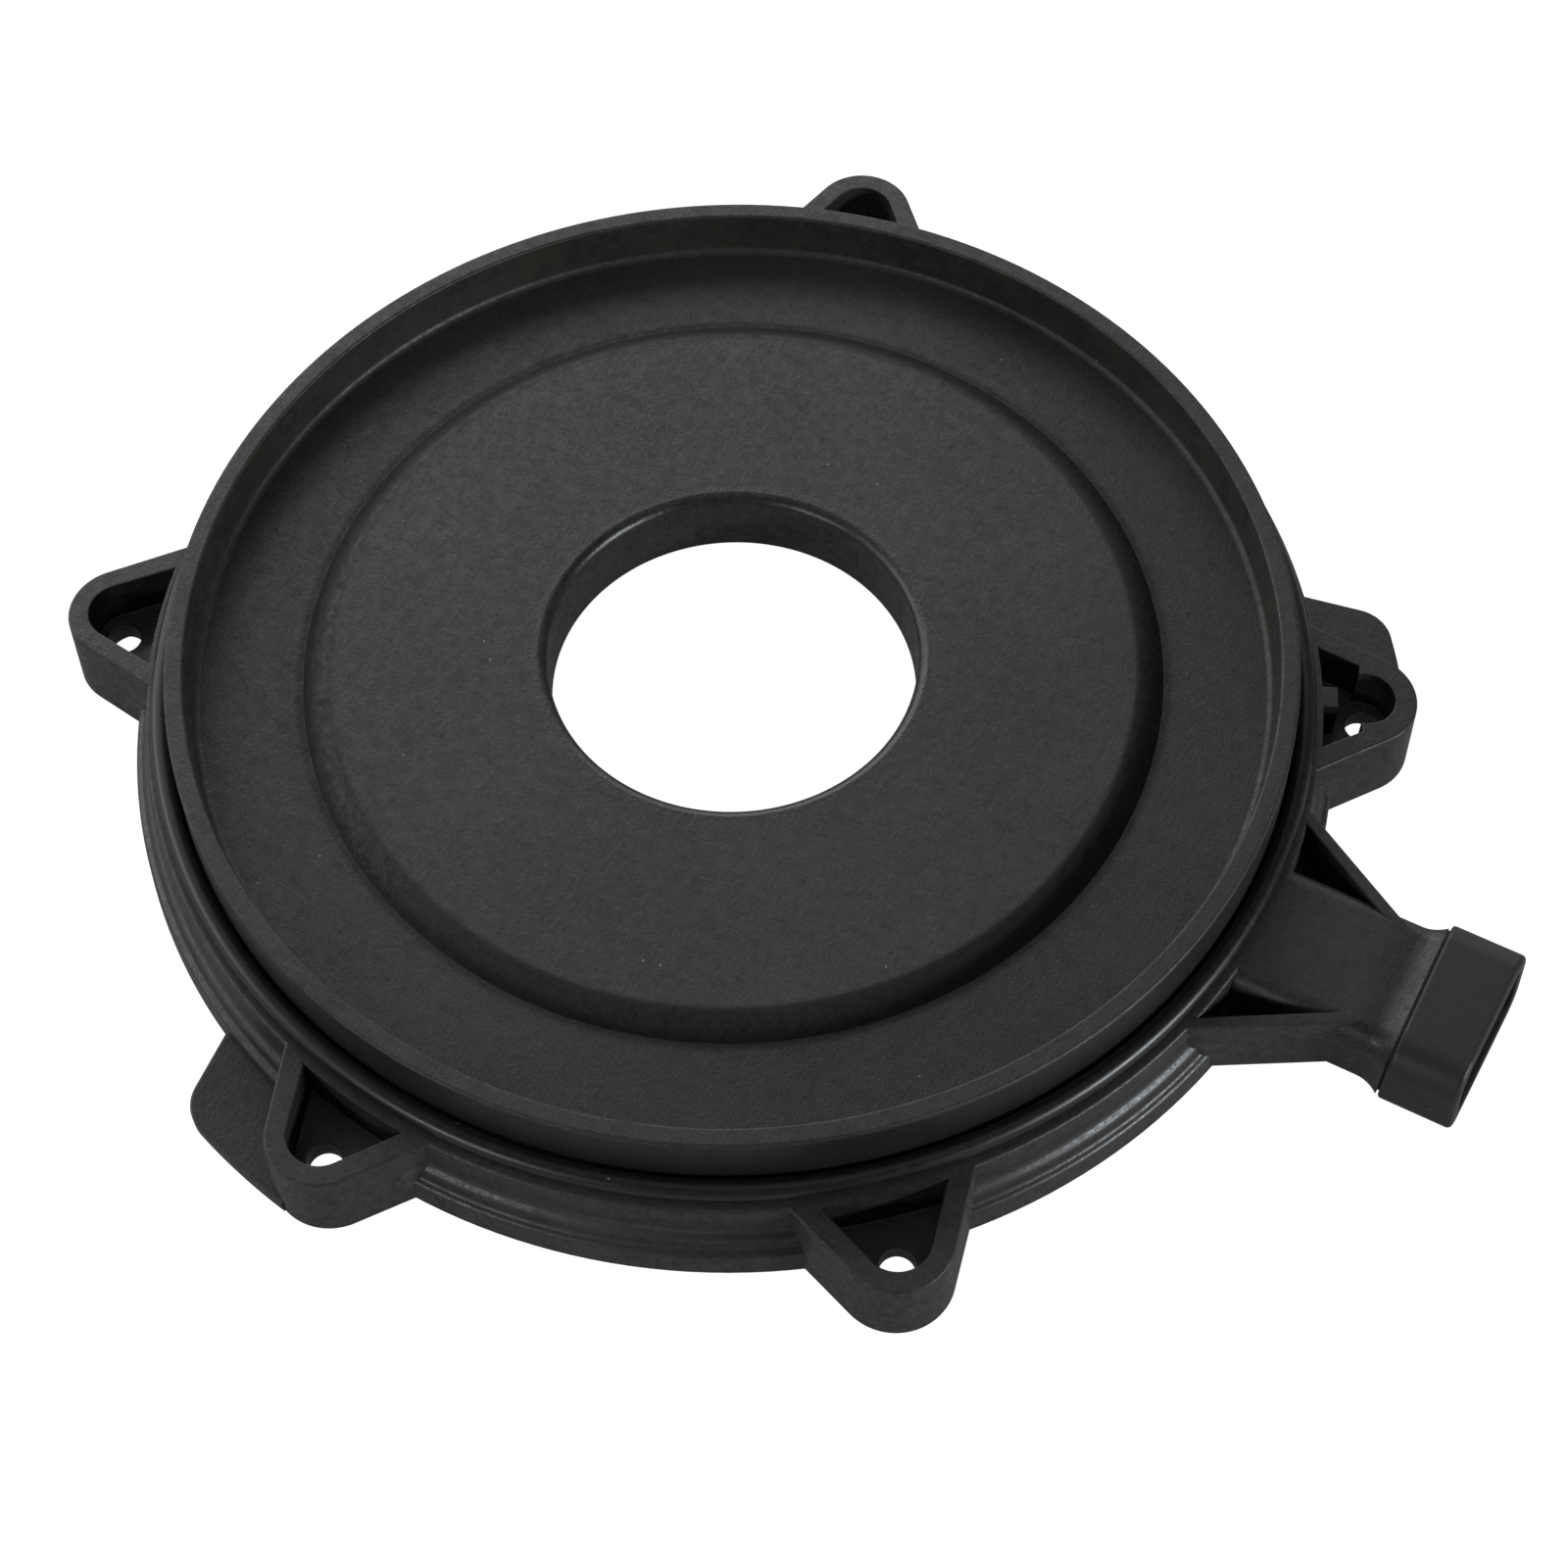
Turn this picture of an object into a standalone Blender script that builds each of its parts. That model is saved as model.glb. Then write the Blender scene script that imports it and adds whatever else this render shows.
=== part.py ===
"""Flat discharge chamber of a kitchen waste disposer.

A moulded bowl with a stepped skirt, five screw lugs and a flattened outlet neck is closed from
above by a dish-shaped plate with a raised rim and a hub tube. The gap between the hub tube and the
bowl's floor is the inlet. An O-ring lies round the rim, over the joint of the two mouldings. Eight
screws from below hold the plate in the bowl.

Metres, +Z up. The bowl's skirt stands on Z = 0, and the object's box is centred over the origin.
"""
import math

import bmesh
import bpy
from mathutils import Matrix, Vector

MM = 0.001
GAP = 0.3 * MM                      # clearance left between two pieces that touch

# Driving dimensions
RIM_RADIUS = 90.0 * MM              # outside of the rim, at its top
TOTAL_HEIGHT = 26.6 * MM            # skirt foot to rim top
RIM_WALL = 3.1 * MM
BORE_RADIUS = 29.8 * MM             # clear hole through the hub
FLANGE_HEIGHT = 14.6 * MM           # top of the bowl's flange, lugs, webs and neck
FLANGE_RADIUS = 95.0 * MM
SKIRT_RADIUS = 98.5 * MM            # outside of the bowl at its foot
FLOOR_TOP = 5.4 * MM                # channel floor inside the bowl
FLOOR_BOTTOM = 3.2 * MM

# Dish plate
PLATE_THICKNESS = 3.0 * MM
DISH_FLOOR = 18.0 * MM              # low outer annulus of the dish
PLATEAU = 20.8 * MM                 # raised middle of the dish
RAMP_OUTER = 69.0 * MM
RAMP_INNER = 64.2 * MM
RAMP_UNDER_SHIFT = 1.0 * MM         # how much further in the ramp stands on the underside
RAMP_EASE_FLAT = 0.6 * MM           # the ramp's eased ends: reach on the flat, reach on the slope
RAMP_EASE_SLOPE = 0.4 * MM
RAMP_EASE_RISE = 0.3 * MM           # and how far up or down the slope they come
RIM_EDGE_OUTER = 0.3 * MM           # chamfers of the rim's top
RIM_EDGE_INNER = 0.2 * MM
RIM_FOOT_RADIUS = RIM_RADIUS + 0.25 * MM
RIM_INNER_DRAFT = 0.2 * MM          # how much further in the rim's inner wall stands at its foot
RIM_FILLET = 1.1 * MM
HUB_FILLET = 1.5 * MM
HUB_WALL = 3.2 * MM
HUB_BOTTOM = 8.5 * MM
PLATE_SEAT = 14.3 * MM              # underside of the rim, which presses the gasket
SEAT_WIDTH = 1.0 * MM               # how far the seat reaches inside the channel's wall
SEAT_SLOPE_WIDTH = 1.0 * MM

# Bowl
REBATE_TOP = 13.1 * MM              # shoulder that carries the gasket
REBATE_RADIUS = RIM_FOOT_RADIUS + GAP
CHANNEL_RADIUS = 88.0 * MM
INLET_RADIUS = 42.0 * MM            # edge of the floor round the hub; the gap between is the inlet
INLET_LIP_WALL = 2.2 * MM
INLET_LIP_TOP = 6.6 * MM
SKIRT_INNER = 94.4 * MM
# The skirt's stepped outside, from foot to flange, as (distance in from SKIRT_RADIUS, height)
SKIRT_STEPS = ((0.0, 0.0), (0.3 * MM, 5.2 * MM), (1.5 * MM, 5.7 * MM), (1.8 * MM, 7.6 * MM),
               (3.1 * MM, 8.6 * MM))
FLANGE_EDGE = 0.2 * MM
RIB_COUNT = 16
RIB_FIRST_ANGLE = 11.25
RIB_INNER = 45.0 * MM
RIB_OUTER = 95.5 * MM               # inside the skirt's wall
RIB_WIDTH = 1.8 * MM
RIB_FOOT = 0.8 * MM
RIB_ROOT = 0.5 * MM                 # how far a rib reaches into the floor above it

# Screw lugs, by the angle of each about the bore axis
LUG_ANGLES = (105.1, 200.9, 261.4, 311.7, 24.4)
LOCATING_LUG = 4                    # this lug has a round pocket end and a rib
LUG_TIP_R = 101.8 * MM              # distance of a lug's tip arc centre from the bore axis
LUG_TIP = 8.6 * MM                  # outer radius of the rounded tip, at the top
LUG_DRAFT = 0.6 * MM                # how much wider the lug is at its foot
LUG_WALL = 3.4 * MM
LUG_SLOPE = math.radians(28.6)      # half the angle between a lug's sides
LUG_FLOOR_TOP = 6.6 * MM
LUG_FLOOR_BOTTOM = 2.8 * MM
LUG_HOLE_R = 102.75 * MM            # distance of the hole from the bore axis
LUG_HOLE_RADIUS = 2.8 * MM
LUG_ROOT_R = 92.0 * MM
POCKET_INNER_R = 95.2 * MM
LOCATING_BORE = 4.6 * MM
LOCATING_BORE_R = 102.2 * MM
LOCATING_CUT = 101.2 * MM
LOCATING_RIB = (2.0 * MM, 97.7 * MM)    # half width, distance of its end from the bore axis
LUG_BEYOND = 120.0 * MM             # limits of a lug's cutters: outward, inward and to each side
LUG_INSIDE = 90.0 * MM
LUG_SIDE = 20.0 * MM
CUT_HEIGHT = 5.0 * MM               # how far a pocket's cutter stands above the flange

# Wings, flat plates beside two of the lugs: lug index and side (+1 is anticlockwise)
WINGS = ((2, -1), (4, 1))
WING_HALF = 25.8 * MM               # how far a wing reaches sideways from its lug's centre line
WING_ROOT = (92.7 * MM, 28.3 * MM)  # where its side meets the bowl, wider by the taper
WING_RADIUS = 111.0 * MM
WING_CORNER = 6.5 * MM
WING_CORNER_END = 77.0              # angle at which the corner meets the tapering side
WING_FIRST_ANGLE = 1.0              # the plate starts just past its lug's centre line
WING_INNER = (94.0 * MM, 2.0 * MM)
WING_TOP = 3.2 * MM

# Outlet neck, along +X
NECK_OFFSET = -3.15 * MM            # the neck's centre line misses the bore axis by this much
NECK_HALF_WIDTH = 11.7 * MM
NECK_BOTTOM = 1.5 * MM
NECK_CORNER = 3.4 * MM              # top edges of the neck
NECK_FOOT_CORNER = 1.6 * MM         # bottom edges
NECK_START = 91.5 * MM
FLARE_START = 117.0 * MM
FLARE_END = 120.0 * MM
FLARE = 1.7 * MM
FLARE_CLEARANCE = 0.3 * MM          # between the flare's underside and the ground
SPIGOT_HALF_WIDTH = 11.0 * MM
SPIGOT_HALF_HEIGHT = 5.75 * MM
SPIGOT_END = 130.9 * MM
DUCT_HALF_WIDTH = 8.9 * MM
DUCT_HALF_HEIGHT = 3.2 * MM
DUCT_CENTRE_Z = 8.6 * MM
DUCT_START = 82.0 * MM              # inside the channel
DUCT_END = 140.0 * MM               # past the mouth
DUCT_CORNER = 1.6 * MM
WEB_INNER = (97.0 * MM, 19.4 * MM)  # a gusset web's outer edge where it leaves the bowl
WEB_OUTER = (112.6 * MM, 10.4 * MM)
WEB_THICKNESS = 2.1 * MM
WEB_ROOT_REACH = 0.42               # parts of its length that a web runs on into the bowl
WEB_TIP_REACH = 0.1                 # and into the neck
GUSSET_FLOOR = 4.0 * MM

# Outlet collar, and the thin gasket behind it
CUFF_START = 121.1 * MM
CUFF_END = 132.4 * MM               # middle of the mouth, whose face leans
CUFF_HALF_WIDTH = 13.9 * MM
CUFF_HALF_HEIGHT = 8.3 * MM
CUFF_CENTRE_Z = 8.3 * MM
CUFF_CORNER = 5.5 * MM
CUFF_FOOT_CORNER = 4.2 * MM
# Rounding of the collar's back edge, as (distance along, inset), and its front edge
CUFF_BACK_EDGE = ((0.0, 1.0 * MM), (0.4 * MM, 0.3 * MM), (1.2 * MM, 0.0))
CUFF_FRONT_EDGE = 0.5 * MM
MOUTH_LEAN = 0.06                   # how far the mouth's face falls back per unit of height
MOUTH_SKEW = 0.03                   # and how far it comes forward per unit to the left
COLLAR_GASKET_MARGIN = 1.0 * MM

# Seals and fasteners
RIM_RING_CORD = 1.6 * MM            # radius of the O-ring's cord
GASKET_THICKNESS = 0.6 * MM
SCREW_COUNT = 8
SCREW_CIRCLE = 78.0 * MM
SCREW_FIRST_ANGLE = 22.5
SCREW_RADIUS = 1.9 * MM
SCREW_HEAD_RADIUS = 3.6 * MM
SCREW_HEAD_BOTTOM = 0.4 * MM
SCREW_HEAD_TOP = 1.8 * MM
SCREW_TIP = 13.2 * MM
SCREW_TIP_CHAMFER = 1.0 * MM
SCREW_HEAD_EDGE = (0.7 * MM, 0.6 * MM)  # chamfer of the head: inward, upward
SOCKET_RADIUS = 1.4 * MM
SOCKET_TOP = 1.4 * MM
PILOT_SPARE = 0.5 * MM              # depth of a pilot hole past the screw's tip and its gap
BOSS_RADIUS = 4.2 * MM
SEAL_THICKNESS = 0.8 * MM

# Facets of round shapes
ROUND_STEPS = 72
RECESS_STEPS = 90
HOLE_STEPS = 24
BOSS_STEPS = 16
SCREW_STEPS = 12
CORD_STEPS = 10
ARC_STEPS = 5
CORNER_STEPS = 4

# Mesh clean-up
WELD_DISTANCE = 1e-7
SLIVER_LENGTH = 2e-6
MOST_CORNERS = 12                   # a face with more corners than this is split


# ---------------------------------------------------------------- helpers
def clear_scene():
    for old in list(bpy.data.objects):
        bpy.data.objects.remove(old, do_unlink=True)


def material(name, colour, roughness, metallic=0.0):
    mat = bpy.data.materials.new(name)
    mat.use_nodes = True
    shader = mat.node_tree.nodes["Principled BSDF"]
    shader.inputs["Base Color"].default_value = (*colour, 1.0)
    shader.inputs["Roughness"].default_value = roughness
    shader.inputs["Metallic"].default_value = metallic
    return mat


def make_object(name, bm, mat=None):
    """Turn a bmesh into an object with outward faces."""
    bmesh.ops.remove_doubles(bm, verts=bm.verts, dist=WELD_DISTANCE)
    bmesh.ops.recalc_face_normals(bm, faces=bm.faces)
    mesh = bpy.data.meshes.new(name)
    bm.to_mesh(mesh)
    bm.free()
    obj = bpy.data.objects.new(name, mesh)
    bpy.context.scene.collection.objects.link(obj)
    if mat is not None:
        mesh.materials.append(mat)
    return obj


def turned(name, profile, steps, mat=None):
    """Spin a closed (radius, z) outline about the Z axis."""
    bm = bmesh.new()
    verts = [bm.verts.new((radius, 0.0, z)) for radius, z in profile]
    edges = [bm.edges.new((verts[i - 1], verts[i])) for i in range(len(verts))]
    bmesh.ops.spin(bm, geom=verts + edges, cent=(0, 0, 0), axis=(0, 0, 1), dvec=(0, 0, 0),
                   angle=math.tau, steps=steps, use_merge=True, use_duplicate=False)
    return make_object(name, bm, mat)


def prism(name, outline, low, high):
    """Extrude a closed (x, y) outline from height low to height high."""
    bm = bmesh.new()
    face = bm.faces.new([bm.verts.new((x, y, low)) for x, y in outline])
    grown = bmesh.ops.extrude_face_region(bm, geom=[face])
    top = [item for item in grown["geom"] if isinstance(item, bmesh.types.BMVert)]
    bmesh.ops.translate(bm, verts=top, vec=(0, 0, high - low))
    return make_object(name, bm)


def lofted(name, rings, hole_rings=None, mat=None):
    """Bridge a row of equal-length rings, capped at both ends, or open through a second row."""
    bm = bmesh.new()
    loops = []
    for ring in rings + list(reversed(hole_rings or [])):
        verts = [bm.verts.new(point) for point in ring]
        loops.append([bm.edges.new((verts[i - 1], verts[i])) for i in range(len(verts))])
    for first, second in zip(loops, loops[1:]):
        bmesh.ops.bridge_loops(bm, edges=first + second)
    if hole_rings:
        bmesh.ops.bridge_loops(bm, edges=loops[-1] + loops[0])
    else:
        for loop in (loops[0], loops[-1]):
            bmesh.ops.contextual_create(bm, geom=loop)
    return make_object(name, bm, mat)


def cylinder(name, radius, low, high, steps):
    circle = [(radius * math.cos(math.tau * i / steps), radius * math.sin(math.tau * i / steps))
              for i in range(steps)]
    return prism(name, circle, low, high)


def combine(target, other, operation):
    """Apply one exact Boolean to target, drop the other object and clean the cut's edges."""
    step = target.modifiers.new(operation.lower(), "BOOLEAN")
    step.operation = operation
    step.solver = "EXACT"
    step.object = other
    graph = bpy.context.evaluated_depsgraph_get()
    result = bpy.data.meshes.new_from_object(target.evaluated_get(graph))
    bm = bmesh.new()
    bm.from_mesh(result)
    bmesh.ops.dissolve_degenerate(bm, dist=SLIVER_LENGTH, edges=bm.edges)
    long_faces = [face for face in bm.faces if len(face.verts) > MOST_CORNERS]
    bmesh.ops.triangulate(bm, faces=long_faces)
    bm.to_mesh(result)
    bm.free()
    target.modifiers.clear()
    old = target.data
    target.data = result
    bpy.data.meshes.remove(old)
    bpy.data.objects.remove(other, do_unlink=True)


def turn_about_bore(obj, degrees):
    obj.data.transform(Matrix.Rotation(math.radians(degrees), 4, "Z"))


def arc(centre, radius, start, end, steps=ARC_STEPS):
    """Points on an arc, angles in degrees."""
    points = []
    for i in range(steps + 1):
        angle = math.radians(start + (end - start) * i / steps)
        points.append((centre[0] + radius * math.cos(angle), centre[1] + radius * math.sin(angle)))
    return points


def rounded_section(x, half_width, half_height, centre_z, corner, foot_corner=None, lean=0.0,
                    skew=0.0):
    """Rounded rectangle across the neck at distance x, anticlockwise from its upper left."""
    points = []
    for index, (side_y, side_z) in enumerate(((1, 1), (-1, 1), (-1, -1), (1, -1))):
        radius = foot_corner if foot_corner and side_z < 0 else corner
        centre = (side_y * (half_width - radius), side_z * (half_height - radius))
        points += arc(centre, radius, 90.0 * index, 90.0 * index + 90.0, CORNER_STEPS)
    return [(x - lean * z + skew * y, y + NECK_OFFSET, z + centre_z) for y, z in points]


# ---------------------------------------------------------------- the bowl
def lug_outline(tip_radius, inner_distance):
    """A lug seen from above with its centre line on X, pointing to +X."""
    slope = math.degrees(LUG_SLOPE)
    tip = arc((LUG_TIP_R, 0.0), tip_radius, -90.0 + slope, 90.0 - slope, 8)
    last_x, last_y = tip[-1]
    spread = last_y + (last_x - inner_distance) * math.tan(LUG_SLOPE)
    return tip + [(inner_distance, spread), (inner_distance, -spread)]


def pocket_outline(tip_radius):
    """The open pocket of a lug: the same triangle inside its walls, ending on the bowl's wall."""
    slope = math.degrees(LUG_SLOPE)
    tip = arc((LUG_TIP_R, 0.0), tip_radius, -90.0 + slope, 90.0 - slope, 6)
    last_x, last_y = tip[-1]
    spread = last_y + (last_x - POCKET_INNER_R) * math.tan(LUG_SLOPE)
    reach = math.degrees(math.asin(spread / POCKET_INNER_R))
    return tip + arc((0.0, 0.0), POCKET_INNER_R, reach, -reach, 6)


def join_outside(bowl, block):
    """Join a block to the bowl, first cutting away what would reach into the recess below."""
    recess = cylinder("recess", SKIRT_INNER + GAP, -MM, FLOOR_BOTTOM + GAP, RECESS_STEPS)
    combine(block, recess, "DIFFERENCE")
    combine(bowl, block, "UNION")


def add_lug(bowl, index):
    angle = LUG_ANGLES[index]
    foot = [(x, y, 0.0) for x, y in lug_outline(LUG_TIP + LUG_DRAFT, LUG_ROOT_R)]
    top = [(x, y, FLANGE_HEIGHT) for x, y in lug_outline(LUG_TIP, LUG_ROOT_R)]
    block = lofted("lug", [foot, top])
    turn_about_bore(block, angle)
    join_outside(bowl, block)


def open_lug(bowl, index):
    angle = LUG_ANGLES[index]
    above = FLANGE_HEIGHT + CUT_HEIGHT
    pocket = prism("pocket", pocket_outline(LUG_TIP - LUG_WALL), LUG_FLOOR_TOP, above)
    if index == LOCATING_LUG:
        far = prism("far_part", [(LOCATING_CUT, -LUG_SIDE), (LUG_BEYOND, -LUG_SIDE),
                                 (LUG_BEYOND, LUG_SIDE), (LOCATING_CUT, LUG_SIDE)], 0.0, above + MM)
        combine(pocket, far, "DIFFERENCE")
        end = cylinder("round_end", LOCATING_BORE, LUG_FLOOR_TOP, above, HOLE_STEPS)
        end.data.transform(Matrix.Translation((LOCATING_BORE_R, 0.0, 0.0)))
        combine(pocket, end, "UNION")
        half, reach = LOCATING_RIB
        rib = prism("rib", [(LUG_INSIDE, -half), (reach, -half), (reach, half), (LUG_INSIDE, half)],
                    0.0, above + MM)
        combine(pocket, rib, "DIFFERENCE")
    turn_about_bore(pocket, angle)
    combine(bowl, pocket, "DIFFERENCE")
    under = prism("under_pocket", pocket_outline(LUG_TIP - LUG_WALL), -MM, LUG_FLOOR_BOTTOM)
    turn_about_bore(under, angle)
    combine(bowl, under, "DIFFERENCE")
    hole = cylinder("hole", LUG_HOLE_RADIUS, LUG_FLOOR_BOTTOM - MM, LUG_FLOOR_TOP + MM, HOLE_STEPS)
    hole.data.transform(Matrix.Translation((LUG_HOLE_R, 0.0, 0.0)))
    turn_about_bore(hole, angle)
    combine(bowl, hole, "DIFFERENCE")


def add_wing(bowl, index, side):
    """A flat plate at the foot of the bowl, from a lug's centre line out to one side."""
    edge_x = math.sqrt((WING_RADIUS - WING_CORNER) ** 2 - (WING_HALF - WING_CORNER) ** 2)
    corner_centre = (edge_x, WING_HALF - WING_CORNER)
    meet = math.degrees(math.atan2(corner_centre[1], corner_centre[0]))
    outline = arc((0.0, 0.0), WING_RADIUS, WING_FIRST_ANGLE, meet)
    outline += arc(corner_centre, WING_CORNER, meet, WING_CORNER_END)[1:]
    outline += [WING_ROOT, WING_INNER]
    plate = prism("wing", [(x, side * y) for x, y in outline], 0.0, WING_TOP)
    turn_about_bore(plate, LUG_ANGLES[index])
    join_outside(bowl, plate)


def add_neck(bowl):
    half_height = (FLANGE_HEIGHT - NECK_BOTTOM) / 2
    centre_z = (FLANGE_HEIGHT + NECK_BOTTOM) / 2
    stations = [(NECK_START, 0.0), (FLARE_START, 0.0)]
    for i in range(1, 4):
        part = i / 3
        stations.append((FLARE_START + (FLARE_END - FLARE_START) * part, FLARE * part * part))
    rings = []
    for x, grow in stations:
        lift = min(grow, NECK_BOTTOM - FLARE_CLEARANCE)
        rings.append(rounded_section(x, NECK_HALF_WIDTH + grow, half_height + lift, centre_z,
                                     NECK_CORNER + grow, NECK_FOOT_CORNER + grow))
    for x in (FLARE_END, SPIGOT_END):
        rings.append(rounded_section(x, SPIGOT_HALF_WIDTH, SPIGOT_HALF_HEIGHT, CUFF_CENTRE_Z,
                                     NECK_CORNER))
    join_outside(bowl, lofted("neck", rings))


def add_webs(bowl):
    """Two gusset webs beside the neck, with a thin floor between web and neck."""
    run = Vector(WEB_OUTER) - Vector(WEB_INNER)
    normal = Vector((run.y, -run.x)).normalized() * WEB_THICKNESS
    start = Vector(WEB_INNER) - run * WEB_ROOT_REACH
    end = Vector(WEB_OUTER) + run * WEB_TIP_REACH
    for side in (1, -1):
        edge = [start, end, end + normal, start + normal]
        web = prism("web", [(p.x, side * p.y + NECK_OFFSET) for p in edge],
                    NECK_BOTTOM, FLANGE_HEIGHT)
        join_outside(bowl, web)
    inside_start = start + normal / 2
    inside_end = end + normal / 2
    outline = [(inside_start.x, inside_start.y), (inside_end.x, inside_end.y),
               (inside_end.x, -inside_end.y), (inside_start.x, -inside_start.y)]
    floor = prism("gusset_floor", [(x, y + NECK_OFFSET) for x, y in outline],
                  NECK_BOTTOM, GUSSET_FLOOR)
    join_outside(bowl, floor)


def open_neck(bowl):
    duct = lofted("duct", [rounded_section(x, DUCT_HALF_WIDTH, DUCT_HALF_HEIGHT, DUCT_CENTRE_Z,
                                           DUCT_CORNER) for x in (DUCT_START, DUCT_END)])
    combine(bowl, duct, "DIFFERENCE")


def screw_places():
    for i in range(SCREW_COUNT):
        angle = math.radians(SCREW_FIRST_ANGLE + 360.0 * i / SCREW_COUNT)
        yield SCREW_CIRCLE * math.cos(angle), SCREW_CIRCLE * math.sin(angle)


def make_bowl(mat):
    profile = [
        (REBATE_RADIUS, FLANGE_HEIGHT), (REBATE_RADIUS, REBATE_TOP), (CHANNEL_RADIUS, REBATE_TOP),
        (CHANNEL_RADIUS, FLOOR_TOP), (INLET_RADIUS + INLET_LIP_WALL, FLOOR_TOP),
        (INLET_RADIUS + INLET_LIP_WALL, INLET_LIP_TOP), (INLET_RADIUS, INLET_LIP_TOP),
        (INLET_RADIUS, FLOOR_BOTTOM), (SKIRT_INNER, FLOOR_BOTTOM), (SKIRT_INNER, 0.0)]
    profile += [(SKIRT_RADIUS - inward, height) for inward, height in SKIRT_STEPS]
    profile += [(FLANGE_RADIUS, FLANGE_HEIGHT - FLANGE_EDGE),
                (FLANGE_RADIUS - FLANGE_EDGE, FLANGE_HEIGHT)]
    bowl = turned("outlet_housing", profile, ROUND_STEPS)
    for index in range(len(LUG_ANGLES)):
        add_lug(bowl, index)
    for index, side in WINGS:
        add_wing(bowl, index, side)
    add_neck(bowl)
    add_webs(bowl)
    for index in range(len(LUG_ANGLES)):
        open_lug(bowl, index)
    open_neck(bowl)
    for i in range(RIB_COUNT):
        rib = prism("rib", [(RIB_INNER, -RIB_WIDTH / 2), (RIB_OUTER, -RIB_WIDTH / 2),
                            (RIB_OUTER, RIB_WIDTH / 2), (RIB_INNER, RIB_WIDTH / 2)],
                    RIB_FOOT, FLOOR_BOTTOM + RIB_ROOT)
        turn_about_bore(rib, RIB_FIRST_ANGLE + 360.0 * i / RIB_COUNT)
        combine(bowl, rib, "UNION")
    for x, y in screw_places():
        hole = cylinder("screw_hole", SCREW_RADIUS + GAP, 0.0, FLOOR_TOP + MM, SCREW_STEPS)
        hole.data.transform(Matrix.Translation((x, y, 0.0)))
        combine(bowl, hole, "DIFFERENCE")
    bowl.data.materials.append(mat)
    return bowl


# ---------------------------------------------------------------- the dish plate
def make_plate(mat):
    inner = RIM_RADIUS - RIM_WALL
    low = DISH_FLOOR - PLATE_THICKNESS
    under = PLATEAU - PLATE_THICKNESS
    profile = [(RIM_RADIUS - RIM_EDGE_OUTER, TOTAL_HEIGHT), (inner + RIM_EDGE_INNER, TOTAL_HEIGHT),
               (inner, TOTAL_HEIGHT - RIM_EDGE_INNER)]
    wall_foot = inner - RIM_INNER_DRAFT
    profile += arc((wall_foot - RIM_FILLET, DISH_FLOOR + RIM_FILLET), RIM_FILLET, 0.0, -90.0, 3)
    profile += [(RAMP_OUTER + RAMP_EASE_FLAT, DISH_FLOOR),
                (RAMP_OUTER - RAMP_EASE_SLOPE, DISH_FLOOR + RAMP_EASE_RISE),
                (RAMP_INNER + RAMP_EASE_SLOPE, PLATEAU - RAMP_EASE_RISE),
                (RAMP_INNER - RAMP_EASE_FLAT, PLATEAU)]
    profile += arc((BORE_RADIUS + HUB_FILLET, PLATEAU - HUB_FILLET), HUB_FILLET, 90.0, 180.0, 4)
    profile += [(BORE_RADIUS, HUB_BOTTOM), (BORE_RADIUS + HUB_WALL, HUB_BOTTOM),
                (BORE_RADIUS + HUB_WALL, under), (RAMP_INNER - RAMP_UNDER_SHIFT, under),
                (RAMP_OUTER - RAMP_UNDER_SHIFT, low),
                (CHANNEL_RADIUS - SEAT_WIDTH - SEAT_SLOPE_WIDTH, low),
                (CHANNEL_RADIUS - SEAT_WIDTH, PLATE_SEAT), (RIM_FOOT_RADIUS, PLATE_SEAT),
                (RIM_FOOT_RADIUS, DISH_FLOOR), (RIM_RADIUS, TOTAL_HEIGHT - RIM_EDGE_OUTER)]
    plate = turned("dish_plate", profile, ROUND_STEPS)
    for x, y in screw_places():
        boss = cylinder("boss", BOSS_RADIUS, FLOOR_TOP + GAP, low + MM, BOSS_STEPS)
        boss.data.transform(Matrix.Translation((x, y, 0.0)))
        combine(plate, boss, "UNION")
        pilot = cylinder("pilot", SCREW_RADIUS + GAP, 0.0, SCREW_TIP + GAP + PILOT_SPARE,
                         SCREW_STEPS)
        pilot.data.transform(Matrix.Translation((x, y, 0.0)))
        combine(plate, pilot, "DIFFERENCE")
    plate.data.materials.append(mat)
    return plate


# ---------------------------------------------------------------- seals, collar, screws
def make_o_ring(mat):
    """A cord lying on the flange, just clear of the rim's foot."""
    centre = RIM_FOOT_RADIUS + GAP + RIM_RING_CORD
    z = FLANGE_HEIGHT + GAP + RIM_RING_CORD
    profile = [(centre + RIM_RING_CORD * math.cos(math.tau * i / CORD_STEPS),
                z + RIM_RING_CORD * math.sin(math.tau * i / CORD_STEPS)) for i in range(CORD_STEPS)]
    return turned("rim_o_ring", profile, ROUND_STEPS, mat)


def make_gasket(mat):
    low = REBATE_TOP + GAP
    high = low + GASKET_THICKNESS
    inner = CHANNEL_RADIUS + GAP
    outer = REBATE_RADIUS - GAP
    return turned("plate_gasket", [(outer, high), (inner, high), (inner, low), (outer, low)],
                  ROUND_STEPS, mat)


def collar_ring(x, inset, lean=0.0, skew=0.0):
    """Outline of the collar at x, drawn in by a rounded-off edge."""
    return rounded_section(x, CUFF_HALF_WIDTH - inset, CUFF_HALF_HEIGHT - inset, CUFF_CENTRE_Z,
                           CUFF_CORNER - inset, CUFF_FOOT_CORNER - inset, lean, skew)


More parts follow.
